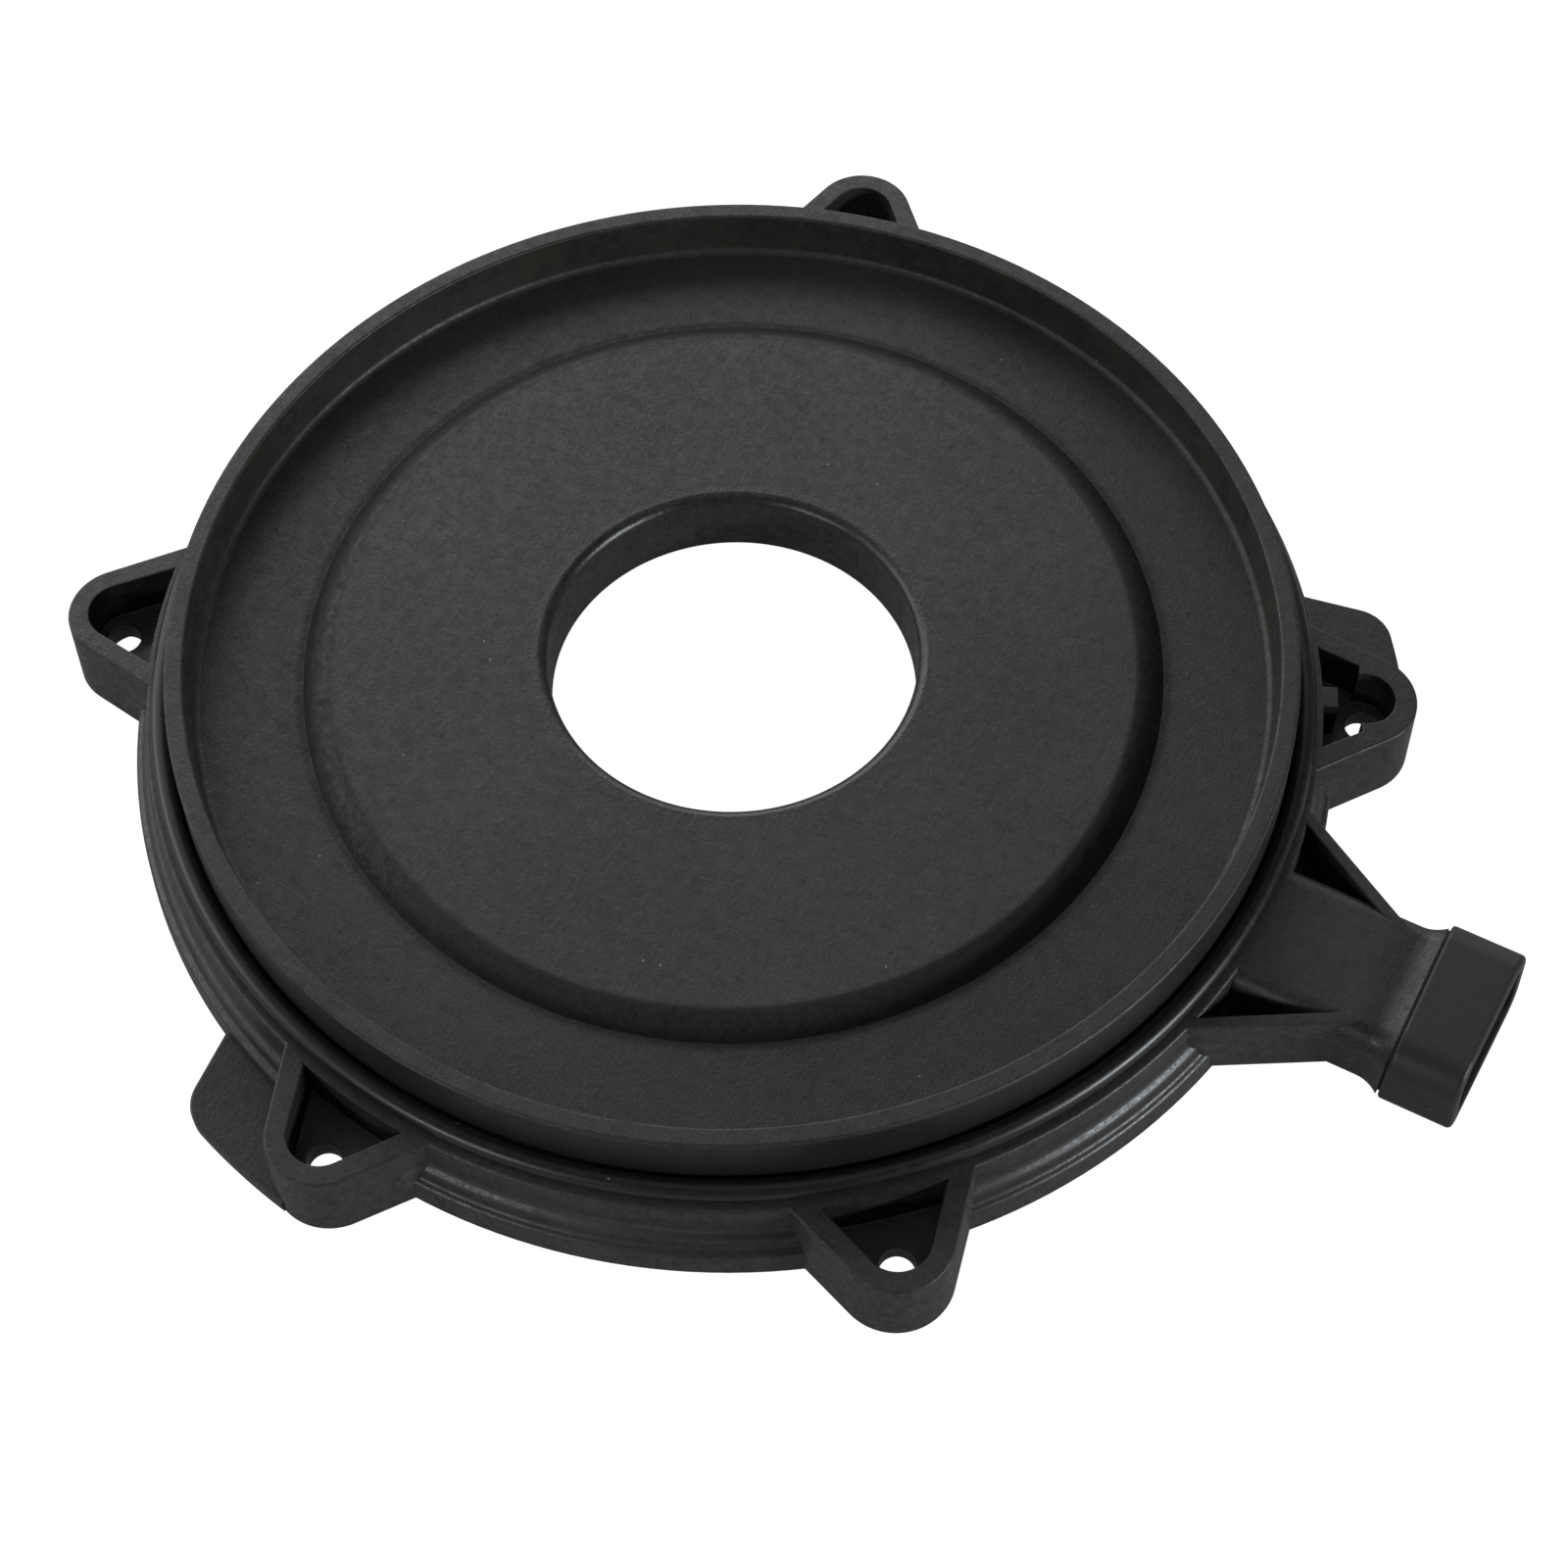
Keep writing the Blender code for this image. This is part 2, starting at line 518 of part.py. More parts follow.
def make_collar(mat):
    lean, skew = MOUTH_LEAN, MOUTH_SKEW
    outer = [collar_ring(CUFF_START + along, inset) for along, inset in CUFF_BACK_EDGE]
    outer += [collar_ring(CUFF_END - CUFF_FRONT_EDGE, 0.0, lean, skew),
              collar_ring(CUFF_END, CUFF_FRONT_EDGE, lean, skew)]
    bore = [rounded_section(x, SPIGOT_HALF_WIDTH + GAP, SPIGOT_HALF_HEIGHT + GAP, CUFF_CENTRE_Z,
                            NECK_CORNER + GAP, None, slope * lean, slope * skew)
            for x, slope in ((CUFF_START, 0.0), (CUFF_END, 1.0))]
    return lofted("outlet_collar", outer, bore, mat)


def make_collar_gasket(mat):
    """Thin rectangular ring between the neck's flare and the collar, just inside their edges."""
    ends = (FLARE_END + GAP, CUFF_START - GAP)
    inset = COLLAR_GASKET_MARGIN
    outer = [collar_ring(x, inset) for x in ends]
    bore = [rounded_section(x, SPIGOT_HALF_WIDTH + GAP, SPIGOT_HALF_HEIGHT + GAP, CUFF_CENTRE_Z,
                            NECK_CORNER + GAP) for x in ends]
    return lofted("collar_gasket", outer, bore, mat)


def make_screw(number, x, y, mat):
    """A pan-head screw driven upwards, its recess a six-sided socket in the head."""
    inward, upward = SCREW_HEAD_EDGE
    profile = [(0.0, SCREW_TIP), (SCREW_RADIUS / 2, SCREW_TIP),
               (SCREW_RADIUS, SCREW_TIP - SCREW_TIP_CHAMFER),
               (SCREW_RADIUS, SCREW_HEAD_TOP), (SCREW_HEAD_RADIUS, SCREW_HEAD_TOP),
               (SCREW_HEAD_RADIUS, SCREW_HEAD_BOTTOM + upward),
               (SCREW_HEAD_RADIUS - inward, SCREW_HEAD_BOTTOM), (0.0, SCREW_HEAD_BOTTOM)]
    bm = bmesh.new()
    verts = [bm.verts.new((radius, 0.0, z)) for radius, z in profile]
    edges = [bm.edges.new((verts[i], verts[i + 1])) for i in range(len(verts) - 1)]
    bmesh.ops.spin(bm, geom=verts + edges, cent=(0, 0, 0), axis=(0, 0, 1), dvec=(0, 0, 0),
                   angle=math.tau, steps=SCREW_STEPS, use_merge=True, use_duplicate=False)
    screw = make_object(f"plate_screw_{number}", bm)
    socket = cylinder("socket", SOCKET_RADIUS, SCREW_HEAD_BOTTOM - MM, SOCKET_TOP, 6)
    combine(screw, socket, "DIFFERENCE")
    screw.data.materials.append(mat)
    screw.location = (x, y, 0.0)
    return screw


def make_screw_seal(number, x, y, mat):
    low = FLOOR_BOTTOM - GAP - SEAL_THICKNESS
    high = FLOOR_BOTTOM - GAP
    inner = SCREW_RADIUS + GAP
    outer = SCREW_HEAD_RADIUS
    seal = turned(f"screw_seal_{number}", [(outer, high), (inner, high), (inner, low), (outer, low)],
                  SCREW_STEPS, mat)
    seal.location = (x, y, 0.0)
    return seal


def shade(obj):
    obj.data.shade_smooth()
    obj.data.set_sharp_from_angle(angle=math.radians(30.0))


def stand_over_origin(pieces):
    """Parent every piece to one empty and move it so that the whole box is centred over the origin."""
    frame = bpy.data.objects.new("assembly_frame", None)
    bpy.context.scene.collection.objects.link(frame)
    for piece in pieces:
        piece.parent = frame
    corners = [piece.location + vert.co for piece in pieces for vert in piece.data.vertices]
    centre_x = (min(c.x for c in corners) + max(c.x for c in corners)) / 2
    centre_y = (min(c.y for c in corners) + max(c.y for c in corners)) / 2
    frame.location = (-centre_x, -centre_y, 0.0)


def main():
    clear_scene()
    moulding = material("glass_filled_moulding", (0.016, 0.016, 0.017), 0.55)
    dish = material("dish_moulding", (0.018, 0.019, 0.018), 0.6)
    rubber = material("black_rubber", (0.008, 0.008, 0.009), 0.35)
    smooth = material("smooth_collar", (0.014, 0.014, 0.015), 0.4)
    steel = material("screw_steel", (0.45, 0.45, 0.46), 0.35, 1.0)

    pieces = [make_bowl(moulding), make_plate(dish), make_o_ring(rubber), make_gasket(rubber),
              make_collar(smooth), make_collar_gasket(rubber)]
    for number, (x, y) in enumerate(screw_places(), start=1):
        pieces.append(make_screw(number, x, y, steel))
        pieces.append(make_screw_seal(number, x, y, rubber))
    for piece in pieces:
        shade(piece)
    stand_over_origin(pieces)


main()
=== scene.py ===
"""Looks of the waste disposer's flat discharge chamber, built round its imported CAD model.

The CAD nodes that show are replaced by finer mouldings with rounded edges and blends. Every piece
has a procedural material. Lengths in the shape code are millimetres about the bore axis, and they
become metres in the CAD frame when a mesh is made. The corners of a profile are (across, height,
rounding). A name that ends in _R is a distance from the bore axis.
"""
import math

import bmesh
import bpy
from mathutils import Matrix, Vector


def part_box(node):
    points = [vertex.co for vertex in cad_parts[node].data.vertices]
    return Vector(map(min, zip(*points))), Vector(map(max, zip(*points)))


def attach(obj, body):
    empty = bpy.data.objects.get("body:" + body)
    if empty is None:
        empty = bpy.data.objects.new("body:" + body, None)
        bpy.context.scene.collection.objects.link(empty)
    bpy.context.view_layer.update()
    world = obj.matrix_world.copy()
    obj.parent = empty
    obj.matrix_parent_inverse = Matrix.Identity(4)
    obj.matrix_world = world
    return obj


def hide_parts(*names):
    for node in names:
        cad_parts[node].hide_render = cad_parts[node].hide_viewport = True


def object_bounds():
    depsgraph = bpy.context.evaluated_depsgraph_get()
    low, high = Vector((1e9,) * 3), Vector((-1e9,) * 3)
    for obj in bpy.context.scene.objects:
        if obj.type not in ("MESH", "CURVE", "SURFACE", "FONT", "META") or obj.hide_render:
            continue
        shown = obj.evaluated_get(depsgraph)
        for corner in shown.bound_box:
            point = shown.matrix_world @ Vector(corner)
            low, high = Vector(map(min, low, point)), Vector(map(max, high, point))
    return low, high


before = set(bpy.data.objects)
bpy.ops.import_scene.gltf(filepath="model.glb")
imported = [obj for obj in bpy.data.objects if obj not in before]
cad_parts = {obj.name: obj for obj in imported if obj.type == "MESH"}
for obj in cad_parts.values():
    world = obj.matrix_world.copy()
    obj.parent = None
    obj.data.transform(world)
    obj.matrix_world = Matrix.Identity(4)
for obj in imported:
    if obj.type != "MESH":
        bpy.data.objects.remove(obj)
cad_low, cad_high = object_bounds()

MM = 0.001
BODY = "root"
ring_low, ring_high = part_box("rim_o_ring")
AXIS = Vector(((ring_low.x + ring_high.x) / 2, (ring_low.y + ring_high.y) / 2, 0.0))
TOP = cad_high.z / MM                 # height of the rim
STEPS = 208     # facets round the large turned shapes
SHARP_ANGLE = math.radians(32.0)      # edges that turn more than this stay sharp
WELD = 1e-4                           # points nearer than this are one point
COMBINE_WELD = 1e-6                   # the same, in metres, after a Boolean
NORMAL_WEIGHT = 80                    # how much larger faces lead the shading of their edges

# The bowl
FLANGE_TOP = 14.6
REBATE_RADIUS = 90.55                 # the dish plate seats in this rebate
REBATE_TOP = 13.1
REBATE_EASE = 0.3
CHANNEL_RADIUS = 88.0
FLOOR_TOP = 5.4
FLOOR_BOTTOM = 3.2
INLET_RADIUS = 42.0
INLET_LIP_WIDTH = 2.2
INLET_LIP_TOP = 6.6
SKIRT_INNER = 94.4
SKIRT_PROFILE = ((98.5, 0.0, 0.5), (98.2, 5.2, 1.1), (96.95, 5.8, 1.1), (96.65, 7.6, 1.9),
                 (95.4, 8.7, 1.9), (95.0, FLANGE_TOP, 0.6))
SHOULDERS = ((5.4, 0.5), (8.3, 0.6))  # where the skirt's steps get painted highlight streaks and a glossier finish: (height, half width)
RIB_COUNT = 16
RIB_HALF = 0.9
RIB_FOOT = 0.8
RIB_ROOT = 6.0
RIB_EDGE = 0.3
RIB_SPAN = (44.8, 97.0)

# Small edges made of two facets: how far they reach, and where their middle stands
EASE = 0.35
EASE_MIDDLE = 0.1
COVE = 0.5
COVE_MIDDLE = 0.15
FOOT_CHAMFER = 0.2
CUT_PAST = 3.0                        # a pocket's cutter runs on this far past the face it opens

# The lugs
LUG_ANGLES = (105.1, 200.9, 261.4, 311.7, 24.4)
LOCATING_LUG = 4
LUG_TIP_R = 101.8
LUG_TIP = 8.6
LUG_DRAFT = 0.6
LUG_WALL = 3.4
LUG_SLOPE = math.radians(28.6)
LUG_FOOT_EASE = 0.4
LUG_FOOT_MIDDLE = 0.15
LUG_TOP_EDGE = 0.45
LUG_FLOOR_TOP = 6.6
LUG_FLOOR_BOTTOM = 2.8
LUG_HOLLOW_EASE = 0.4
LUG_HOLE_R = 102.75
LUG_HOLE_RADIUS = 2.8
LUG_ROOT_R = 90.0
POCKET_INNER_R = 95.2
LOCATING_BORE = 4.6                   # round end of the locating lug's pocket
LOCATING_BORE_R = 102.2
LOCATING_CUT_R = 101.2                # where the round end meets the pocket's flat shoulders
LOCATING_RIB_HALF = 2.0
LOCATING_RIB_R = 97.7

# The wings beside two lugs: (lug, side)
WINGS = ((2, -1), (4, 1))
WING_TOP = 3.2
WING_EDGE = 0.5
WING_RADIUS = 111.0
WING_HALF = 25.8
WING_CORNER = 6.5
WING_FIRST_ANGLE = 1.0
WING_LAST_ANGLE = 77.0
WING_ROOT_X = 92.0
WING_ROOT_NEAR = 2.0
WING_ROOT_FAR = 28.6

# The neck, its gussets and its duct
NECK_OFFSET = -3.15
NECK_BOTTOM = 1.5
NECK_HALF_WIDTH = 11.7
NECK_TOP_CORNER = 3.4
NECK_FOOT_CORNER = 1.6
NECK_START = 88.0
FLARE_START = 116.0
FLARE_LENGTH = 4.0
FLARE_STEPS = 10
FLARE_GROW = 1.75
FLARE_POWER = 2.2
FLARE_RISE = 0.6                      # how much the flare grows upward for each step sideways
SPIGOT = (11.0, 5.75, 8.3, 3.4)       # half width, half height, height of the centre, corner
SPIGOT_SPAN = (120.05, 130.9)
DUCT = (8.9, 3.2, 8.6, 1.6)           # the same four measures
DUCT_SPAN = (82.0, 140.0)
WEB_INNER = (97.0, 19.4)
WEB_OUTER = (112.6, 10.4)
WEB_ROOT_REACH = 0.42                 # how far a web runs on inward, as a share of its length
WEB_TIP_REACH = 0.1
WEB_THICKNESS = 2.1
WEB_EDGE = 0.4
GUSSET_SIDE = ((90.0, 20.6), (96.4, 18.6), (112.6, 9.3))
GUSSET_TOP = 4.0

# The collar and its seal
MOUTH_LEAN = 0.06
MOUTH_SKEW = 0.03
COLLAR_BACK = 120.4
COLLAR_FRONT = 132.4
COLLAR_HALF_WIDTH = 13.9
COLLAR_HALF_HEIGHT = 8.3
COLLAR_TOP_CORNER = 5.5
COLLAR_FOOT_CORNER = 4.2
COLLAR_STEPS = 14
COLLAR_BACK_EDGE = (                  # (distance from the back, inset)
    (0.0, 0.42), (0.08, 0.24), (0.2, 0.1), (0.4, 0.02), (0.7, 0.0))
COLLAR_FRONT_EDGE = 0.8
COLLAR_FRONT_TURNS = (0.0, 0.4, 0.8, 1.2, math.pi / 2)
COLLAR_FRONT_START = 1.0              # the leaning mouth begins this far behind the front
COLLAR_CENTRE = 8.3
COLLAR_BORE = (11.3, 6.05, COLLAR_CENTRE, 3.7)
MOUTH_EDGE = (                        # the bore's size at three places behind the front
    (0.5, COLLAR_BORE), (0.15, (11.4, 6.15, COLLAR_CENTRE, 3.8)),
    (0.0, (11.75, 6.5, COLLAR_CENTRE, 4.1)))
SEAL_PROFILE = ((120.03, 1.1), (120.1, 1.0), (COLLAR_BACK - 0.1, 1.0), (COLLAR_BACK - 0.03, 1.1))
SEAL_BORE = (11.05, 5.8, COLLAR_CENTRE, 3.45)

# The dish plate
BORE = 29.8
PLATEAU = 20.8
DISH_FLOOR = 18.0
RAMP_FOOT = 69.2
RAMP_CREST = 64.5
RAMP_STEPS = 16
RAMP_POWER = 1.55                     # how the ramp eases into the plateau
DISH_SEAT = 14.3
DISH_FOOT_R = 90.25
RIM_OUTER_R = 90.0
RIM_INNER_R = 86.9
RIM_INNER_FOOT_R = 86.68
HUB_BOTTOM = 8.5
HUB_OUTER_R = BORE + 3.2
PLATEAU_UNDER = 17.8
PLATEAU_UNDER_R = 63.2
FLOOR_UNDER = 15.0
FLOOR_UNDER_R = (68.0, 86.0)
SEAT_INNER_R = 87.0
CORD_CENTRE = (92.15, 16.5)           # the O-ring
CORD_RADIUS = 1.68
CORD_STEPS = 40

# The screws, their bosses and their seals: rows of (radius, height)
SCREW_CIRCLE = 78.0
SCREW_COUNT = 8
SCREW_FIRST = 22.5
SCREW_HOLE = ((0.0, 0.0), (2.2, 0.0), (2.2, 7.0), (0.0, 7.0))
BOSS = ((0.0, 5.7), (4.0, 5.7), (4.2, 5.9), (4.2, 14.4), (4.45, 14.8), (5.0, 15.1), (5.0, 16.0),
        (0.0, 16.0))
PILOT = ((0.0, 4.0), (2.5, 4.0), (2.5, 5.75), (2.2, 6.05), (2.2, 14.0), (0.0, 14.0))
SCREW_TIP = ((0.0, 13.2), (0.7, 13.1), (1.4, 12.6))
CORE_RADIUS = 1.55
THREAD_RADIUS = 1.9
THREAD_TOP = 12.3
THREAD_PITCH = 0.8
THREAD_TURNS = 13
THREAD_RIDGE = (0.3, 0.42, 0.7)       # below each turn's top: where the ridge starts and ends, its root
SCREW_HEAD = ((CORE_RADIUS, 1.95), (1.75, 1.8), (3.5, 1.8), (3.6, 1.7), (3.6, 1.15), (3.45, 0.75),
              (3.1, 0.5), (2.7, 0.4), (0.0, 0.4))
LOBE_STEPS = 72
LOBE_COUNT = 6
LOBE_RADIUS = 1.35
LOBE_DEPTH = 0.17
RECESS_LEVELS = ((-0.5, 1.0), (1.2, 1.0), (1.45, 0.5))    # (height, scale) of the drive recess
SEAL_RING = ((3.6, 2.1, 0.3), (3.6, 2.9, 0.3), (2.2, 2.9, 0.2), (2.2, 2.1, 0.2))

# Colours that wear, dust and stains add, and painted light, highlight and shade
DUST_FILM = (0.105, 0.106, 0.104)
# painted light on the up-facing floors of the lugs' pockets and the gussets
POCKET_FLOOR_LIGHT = (0.085, 0.085, 0.082)
SPECK = (0.42, 0.42, 0.40)
RIM_WEAR = (0.060, 0.060, 0.061)
# painted highlight streaks on the skirt's shoulders
SHOULDER_HIGHLIGHT = (0.052, 0.052, 0.055)
STAIN = (0.0300, 0.0250, 0.0160)
# painted shade on the dish's ramp and the corner at its foot
RAMP_SHADE = (0.0030, 0.0031, 0.0030)
# painted shade on the rim's outer wall
RIM_WALL_SHADE = (0.0040, 0.0040, 0.0040)
POLISH = 0.62                         # share of its roughness that a polished surface keeps

# Camera, in a frame turned so that it stands at the front
TURN = Matrix.Rotation(math.radians(30.0), 3, "Z")
CAMERA_DISTANCE = 0.46907
CAMERA_ELEVATION = 0.9672
CAMERA_LENS = 67.70
CAMERA_PAN = 0.0176
CAMERA_TILT = 0.0529
CAMERA_ROLL = 0.0362
SENSOR_WIDTH = 36.0
CLIP_START = 0.01

# Floor, surroundings and lights, in metres and watts
FLOOR_RADIUS = 6.0
FLOOR_GLOW = 0.155                    # light the floor gives the object; the camera sees it white
SKY_RISE = (0.35, 0.9, 1.45, 0.20)    # height of a ray, low and high; strength at each
SKY_ROUND = (0.0, 0.75, 0.045, 1.0)   # the same for how far a ray points to the bright side
BRIGHT_SIDE = Vector((-0.6, 0.8, 0.0))
LIGHT_CENTRE = Vector((0.0, 0.0, 0.015))
LIGHT_COLOUR = (0.93, 0.97, 1.0)
LIGHTS = (                            # name, place, width and height, power
    ("back_softbox", (-0.37, 1.20, 0.92), (1.3, 0.6), 6.3),
    ("left_softbox", (-1.20, 0.25, 0.45), (0.9, 0.5), 2.0),
    ("right_softbox", (1.16, -0.72, 0.34), (0.50, 0.16), 12.0),
    ("front_left_softbox", (-0.92, -0.95, 0.42), (0.35, 0.16), 3.6),
    ("top_softbox", (0.10, -0.25, 1.40), (1.0, 1.0), 1.1))


# ---------------------------------------------------------------- mesh helpers
def filleted(corners, steps=4):
    """Closed outline from (x, y, radius) corners, each rounded with that radius."""
    points = []
    for i, (x, y, radius) in enumerate(corners):
        here = Vector((x, y))
        before = Vector(corners[i - 1][:2]) - here
        after = Vector(corners[(i + 1) % len(corners)][:2]) - here
        if radius <= 0.0:
            points.append((x, y))
            continue
        angle = before.angle(after)
        reach = radius / math.tan(angle / 2)
        first = here + before.normalized() * reach
        last = here + after.normalized() * reach
        middle = (before.normalized() + after.normalized()).normalized()
        centre = here + middle * (radius / math.sin(angle / 2))
        for k in range(steps + 1):
            part = first.lerp(last, k / steps) - centre
            # even steps along the chord, pushed out on to the arc
            points.append(tuple(centre + part.normalized() * radius))
    return points


def arc(centre, radius, start, end, steps):
    """Points along a circular arc, from one angle to the other in degrees."""
    points = []
    for i in range(steps + 1):
        angle = math.radians(start + (end - start) * i / steps)
        points.append((centre[0] + radius * math.cos(angle), centre[1] + radius * math.sin(angle)))
    return points


def placed(name, data):
    obj = bpy.data.objects.new(name, data)
    bpy.context.scene.collection.objects.link(obj)
    return obj


def new_object(name, bm):
    """Turn a bmesh in millimetres about the bore axis into an object in the CAD frame."""
    bmesh.ops.remove_doubles(bm, verts=bm.verts, dist=WELD)
    bmesh.ops.recalc_face_normals(bm, faces=bm.faces)
    mesh = bpy.data.meshes.new(name)
    bm.to_mesh(mesh)
    bm.free()
    mesh.transform(Matrix.Translation(AXIS) @ Matrix.Scale(MM, 4))
    return placed(name, mesh)


def turned(name, profile, steps=STEPS, place=(0.0, 0.0)):
    """Spin an outline of (radius, z) about a vertical axis at place. Points on the axis are welded."""
    bm = bmesh.new()
    verts = [bm.verts.new((radius, 0.0, z)) for radius, z in profile]
    edges = [bm.edges.new((verts[i - 1], verts[i])) for i in range(len(verts))
             if profile[i - 1][0] > 0.0 or profile[i][0] > 0.0]
    bmesh.ops.spin(bm, geom=verts + edges, cent=(0, 0, 0), axis=(0, 0, 1), dvec=(0, 0, 0),
                   angle=math.tau, steps=steps, use_merge=True, use_duplicate=False)
    bmesh.ops.translate(bm, verts=bm.verts, vec=(*place, 0.0))
    return new_object(name, bm)


def lofted(name, rings, angle=0.0, hole_rings=None):
    """Bridge equal rings of points, capped at both ends or open through a second row of rings."""
    bm = bmesh.new()
    all_rings = rings + list(reversed(hole_rings or []))
    rows = [[bm.verts.new(point) for point in ring] for ring in all_rings]
    count = len(rows[0])
    pairs = list(zip(rows, rows[1:]))
    if hole_rings:
        pairs.append((rows[-1], rows[0]))
    for first, second in pairs:
        for i in range(count):
            bm.faces.new((first[i - 1], first[i], second[i], second[i - 1]))
    if not hole_rings:
        bm.faces.new(rows[0])
        bm.faces.new(rows[-1])
    turn = Matrix.Rotation(math.radians(angle), 3, "Z")
    bmesh.ops.rotate(bm, verts=bm.verts, cent=(0, 0, 0), matrix=turn)
    return new_object(name, bm)


def stacked(name, outline, levels, angle=0.0):
    """Loft outline(inset) through (z, inset) levels."""
    rings = [[(x, y, z) for x, y in outline(inset)] for z, inset in levels]
    return lofted(name, rings, angle)


def rounding(z, radius, steps=4):
    """Levels that round a top edge at height z."""
    levels = []
    for i in range(steps + 1):
        turn = math.pi / 2 * i / steps
        levels.append((z - radius * (1 - math.sin(turn)), radius * (1 - math.cos(turn))))
    return levels


def combine(target, others, operation):
    """One exact Boolean of target with several objects, which are dropped."""
    tools = bpy.data.collections.new("tools")
    for other in others:
        tools.objects.link(other)
    step = target.modifiers.new("combine", "BOOLEAN")
    step.operation = operation
    step.solver = "EXACT"
    step.operand_type = "COLLECTION"
    step.collection = tools
    bpy.context.view_layer.update()
    graph = bpy.context.evaluated_depsgraph_get()
    result = bpy.data.meshes.new_from_object(target.evaluated_get(graph))
    bm = bmesh.new()
    bm.from_mesh(result)
    bmesh.ops.remove_doubles(bm, verts=bm.verts, dist=COMBINE_WELD)
    bmesh.ops.dissolve_degenerate(bm, dist=COMBINE_WELD, edges=bm.edges)
    bm.to_mesh(result)
    bm.free()
    target.modifiers.clear()
    target.data = result
    for other in others:
        bpy.data.objects.remove(other, do_unlink=True)
    bpy.data.collections.remove(tools)


def finish_piece(obj, mat, node):
    """Shade a piece, give it its material and let it stand for its CAD node."""
    obj.data.materials.clear()
    obj.data.materials.append(mat)
    obj.data.shade_smooth()
    obj.data.set_sharp_from_angle(angle=SHARP_ANGLE)
    weighted = obj.modifiers.new("flat_normals", "WEIGHTED_NORMAL")
    weighted.keep_sharp = True
    weighted.weight = NORMAL_WEIGHT
    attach(obj, BODY)
    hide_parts(node)


# ---------------------------------------------------------------- shapes
def lug_outline(inset):
    """A lug seen from above, pointing to +X."""
    slope = math.degrees(LUG_SLOPE)
    points = arc((LUG_TIP_R, 0.0), LUG_TIP - inset, -90.0 + slope, 90.0 - slope, 24)
    last_x, last_y = points[-1]
    spread = last_y + (last_x - LUG_ROOT_R) * math.tan(LUG_SLOPE)
    return points + [(LUG_ROOT_R, spread), (LUG_ROOT_R, -spread)]


def pocket_outline(inset):
    """The open pocket of a lug, ending on the bowl's wall."""
    slope = math.degrees(LUG_SLOPE)
    points = arc((LUG_TIP_R, 0.0), LUG_TIP - LUG_WALL - inset, -90.0 + slope, 90.0 - slope, 18)
    last_x, last_y = points[-1]
    inner = POCKET_INNER_R + max(inset, 0.0)
    spread = last_y + (last_x - inner) * math.tan(LUG_SLOPE)
    reach = math.degrees(math.asin(spread / inner))
    return points + arc((0.0, 0.0), inner, reach, -reach, 12)


def locating_outline(inset):
    """The pocket with a round end and a rib standing in it."""
    bore, cut = LOCATING_BORE - inset, LOCATING_CUT_R - inset
    half = math.sqrt(bore ** 2 - (LOCATING_BORE_R - cut) ** 2)
    turn = math.degrees(math.atan2(half, cut - LOCATING_BORE_R))
    points = arc((LOCATING_BORE_R, 0.0), bore, -turn, turn, 30)
    flank = 90.0 - math.degrees(LUG_SLOPE)
    tip_x, tip_y = arc((LUG_TIP_R, 0.0), LUG_TIP - LUG_WALL - inset, flank, flank, 1)[0]
    slope = math.tan(LUG_SLOPE)
    inner = POCKET_INNER_R + max(inset, 0.0)
    spread = tip_y + (tip_x - inner) * slope
    reach = math.degrees(math.asin(spread / inner))
    rib_half, rib_end = LOCATING_RIB_HALF + inset, LOCATING_RIB_R + inset
    rib_turn = math.degrees(math.asin(rib_half / inner))
    points.append((cut, tip_y + (tip_x - cut) * slope))
    points += arc((0.0, 0.0), inner, reach, rib_turn, 6)
    points += [(rib_end, rib_half), (rib_end, -rib_half)]
    points += arc((0.0, 0.0), inner, -rib_turn, -reach, 6)
    points.append((cut, -tip_y - (tip_x - cut) * slope))
    return points


def wing_outline(side):
    """A wing's outline as a function of its inset, on one side of its lug."""
    corner_y = WING_HALF - WING_CORNER
    corner_x = math.sqrt((WING_RADIUS - WING_CORNER) ** 2 - corner_y ** 2)
    meet = math.degrees(math.atan2(corner_y, corner_x))

    def outline(inset):
        points = arc((0.0, 0.0), WING_RADIUS - inset, WING_FIRST_ANGLE, meet, 16)
        points += arc((corner_x, corner_y), WING_CORNER - inset, meet, WING_LAST_ANGLE, 12)[1:]
        points += [(WING_ROOT_X, WING_ROOT_FAR - inset), (WING_ROOT_X, WING_ROOT_NEAR)]
        return [(x, side * y) for x, y in points]
    return outline


def web_outline(side):
    """A gusset web's outline as a function of its inset, beside the neck."""
    inner, outer = Vector(WEB_INNER), Vector(WEB_OUTER)
    run = outer - inner
    across = Vector((run.y, -run.x)).normalized()

    def outline(inset):
        start = inner - run * WEB_ROOT_REACH + across * inset
        end = outer + run * WEB_TIP_REACH + across * inset
        wide = across * (WEB_THICKNESS - 2 * inset)
        corners = [start, end, end + wide, start + wide]
        return [(p.x, side * p.y + NECK_OFFSET) for p in corners]
    return outline


def section(x, half_width, half_height, centre_z, corner, foot=None, lean=0.0, skew=0.0, steps=10):
    """Rounded rectangle across the neck at distance x. Its lower corners may have their own radius."""
    points = []
    for index, (side_y, side_z) in enumerate(((1, 1), (-1, 1), (-1, -1), (1, -1))):
        radius = foot if foot and side_z < 0 else corner
        centre = (side_y * (half_width - radius), side_z * (half_height - radius))
        points += arc(centre, radius, 90.0 * index, 90.0 * index + 90.0, steps)
    return [(x - lean * z + skew * y, y + NECK_OFFSET, z + centre_z) for y, z in points]


def screw_places():
    for i in range(SCREW_COUNT):
        angle = math.radians(SCREW_FIRST + 360.0 * i / SCREW_COUNT)
        yield SCREW_CIRCLE * math.cos(angle), SCREW_CIRCLE * math.sin(angle)


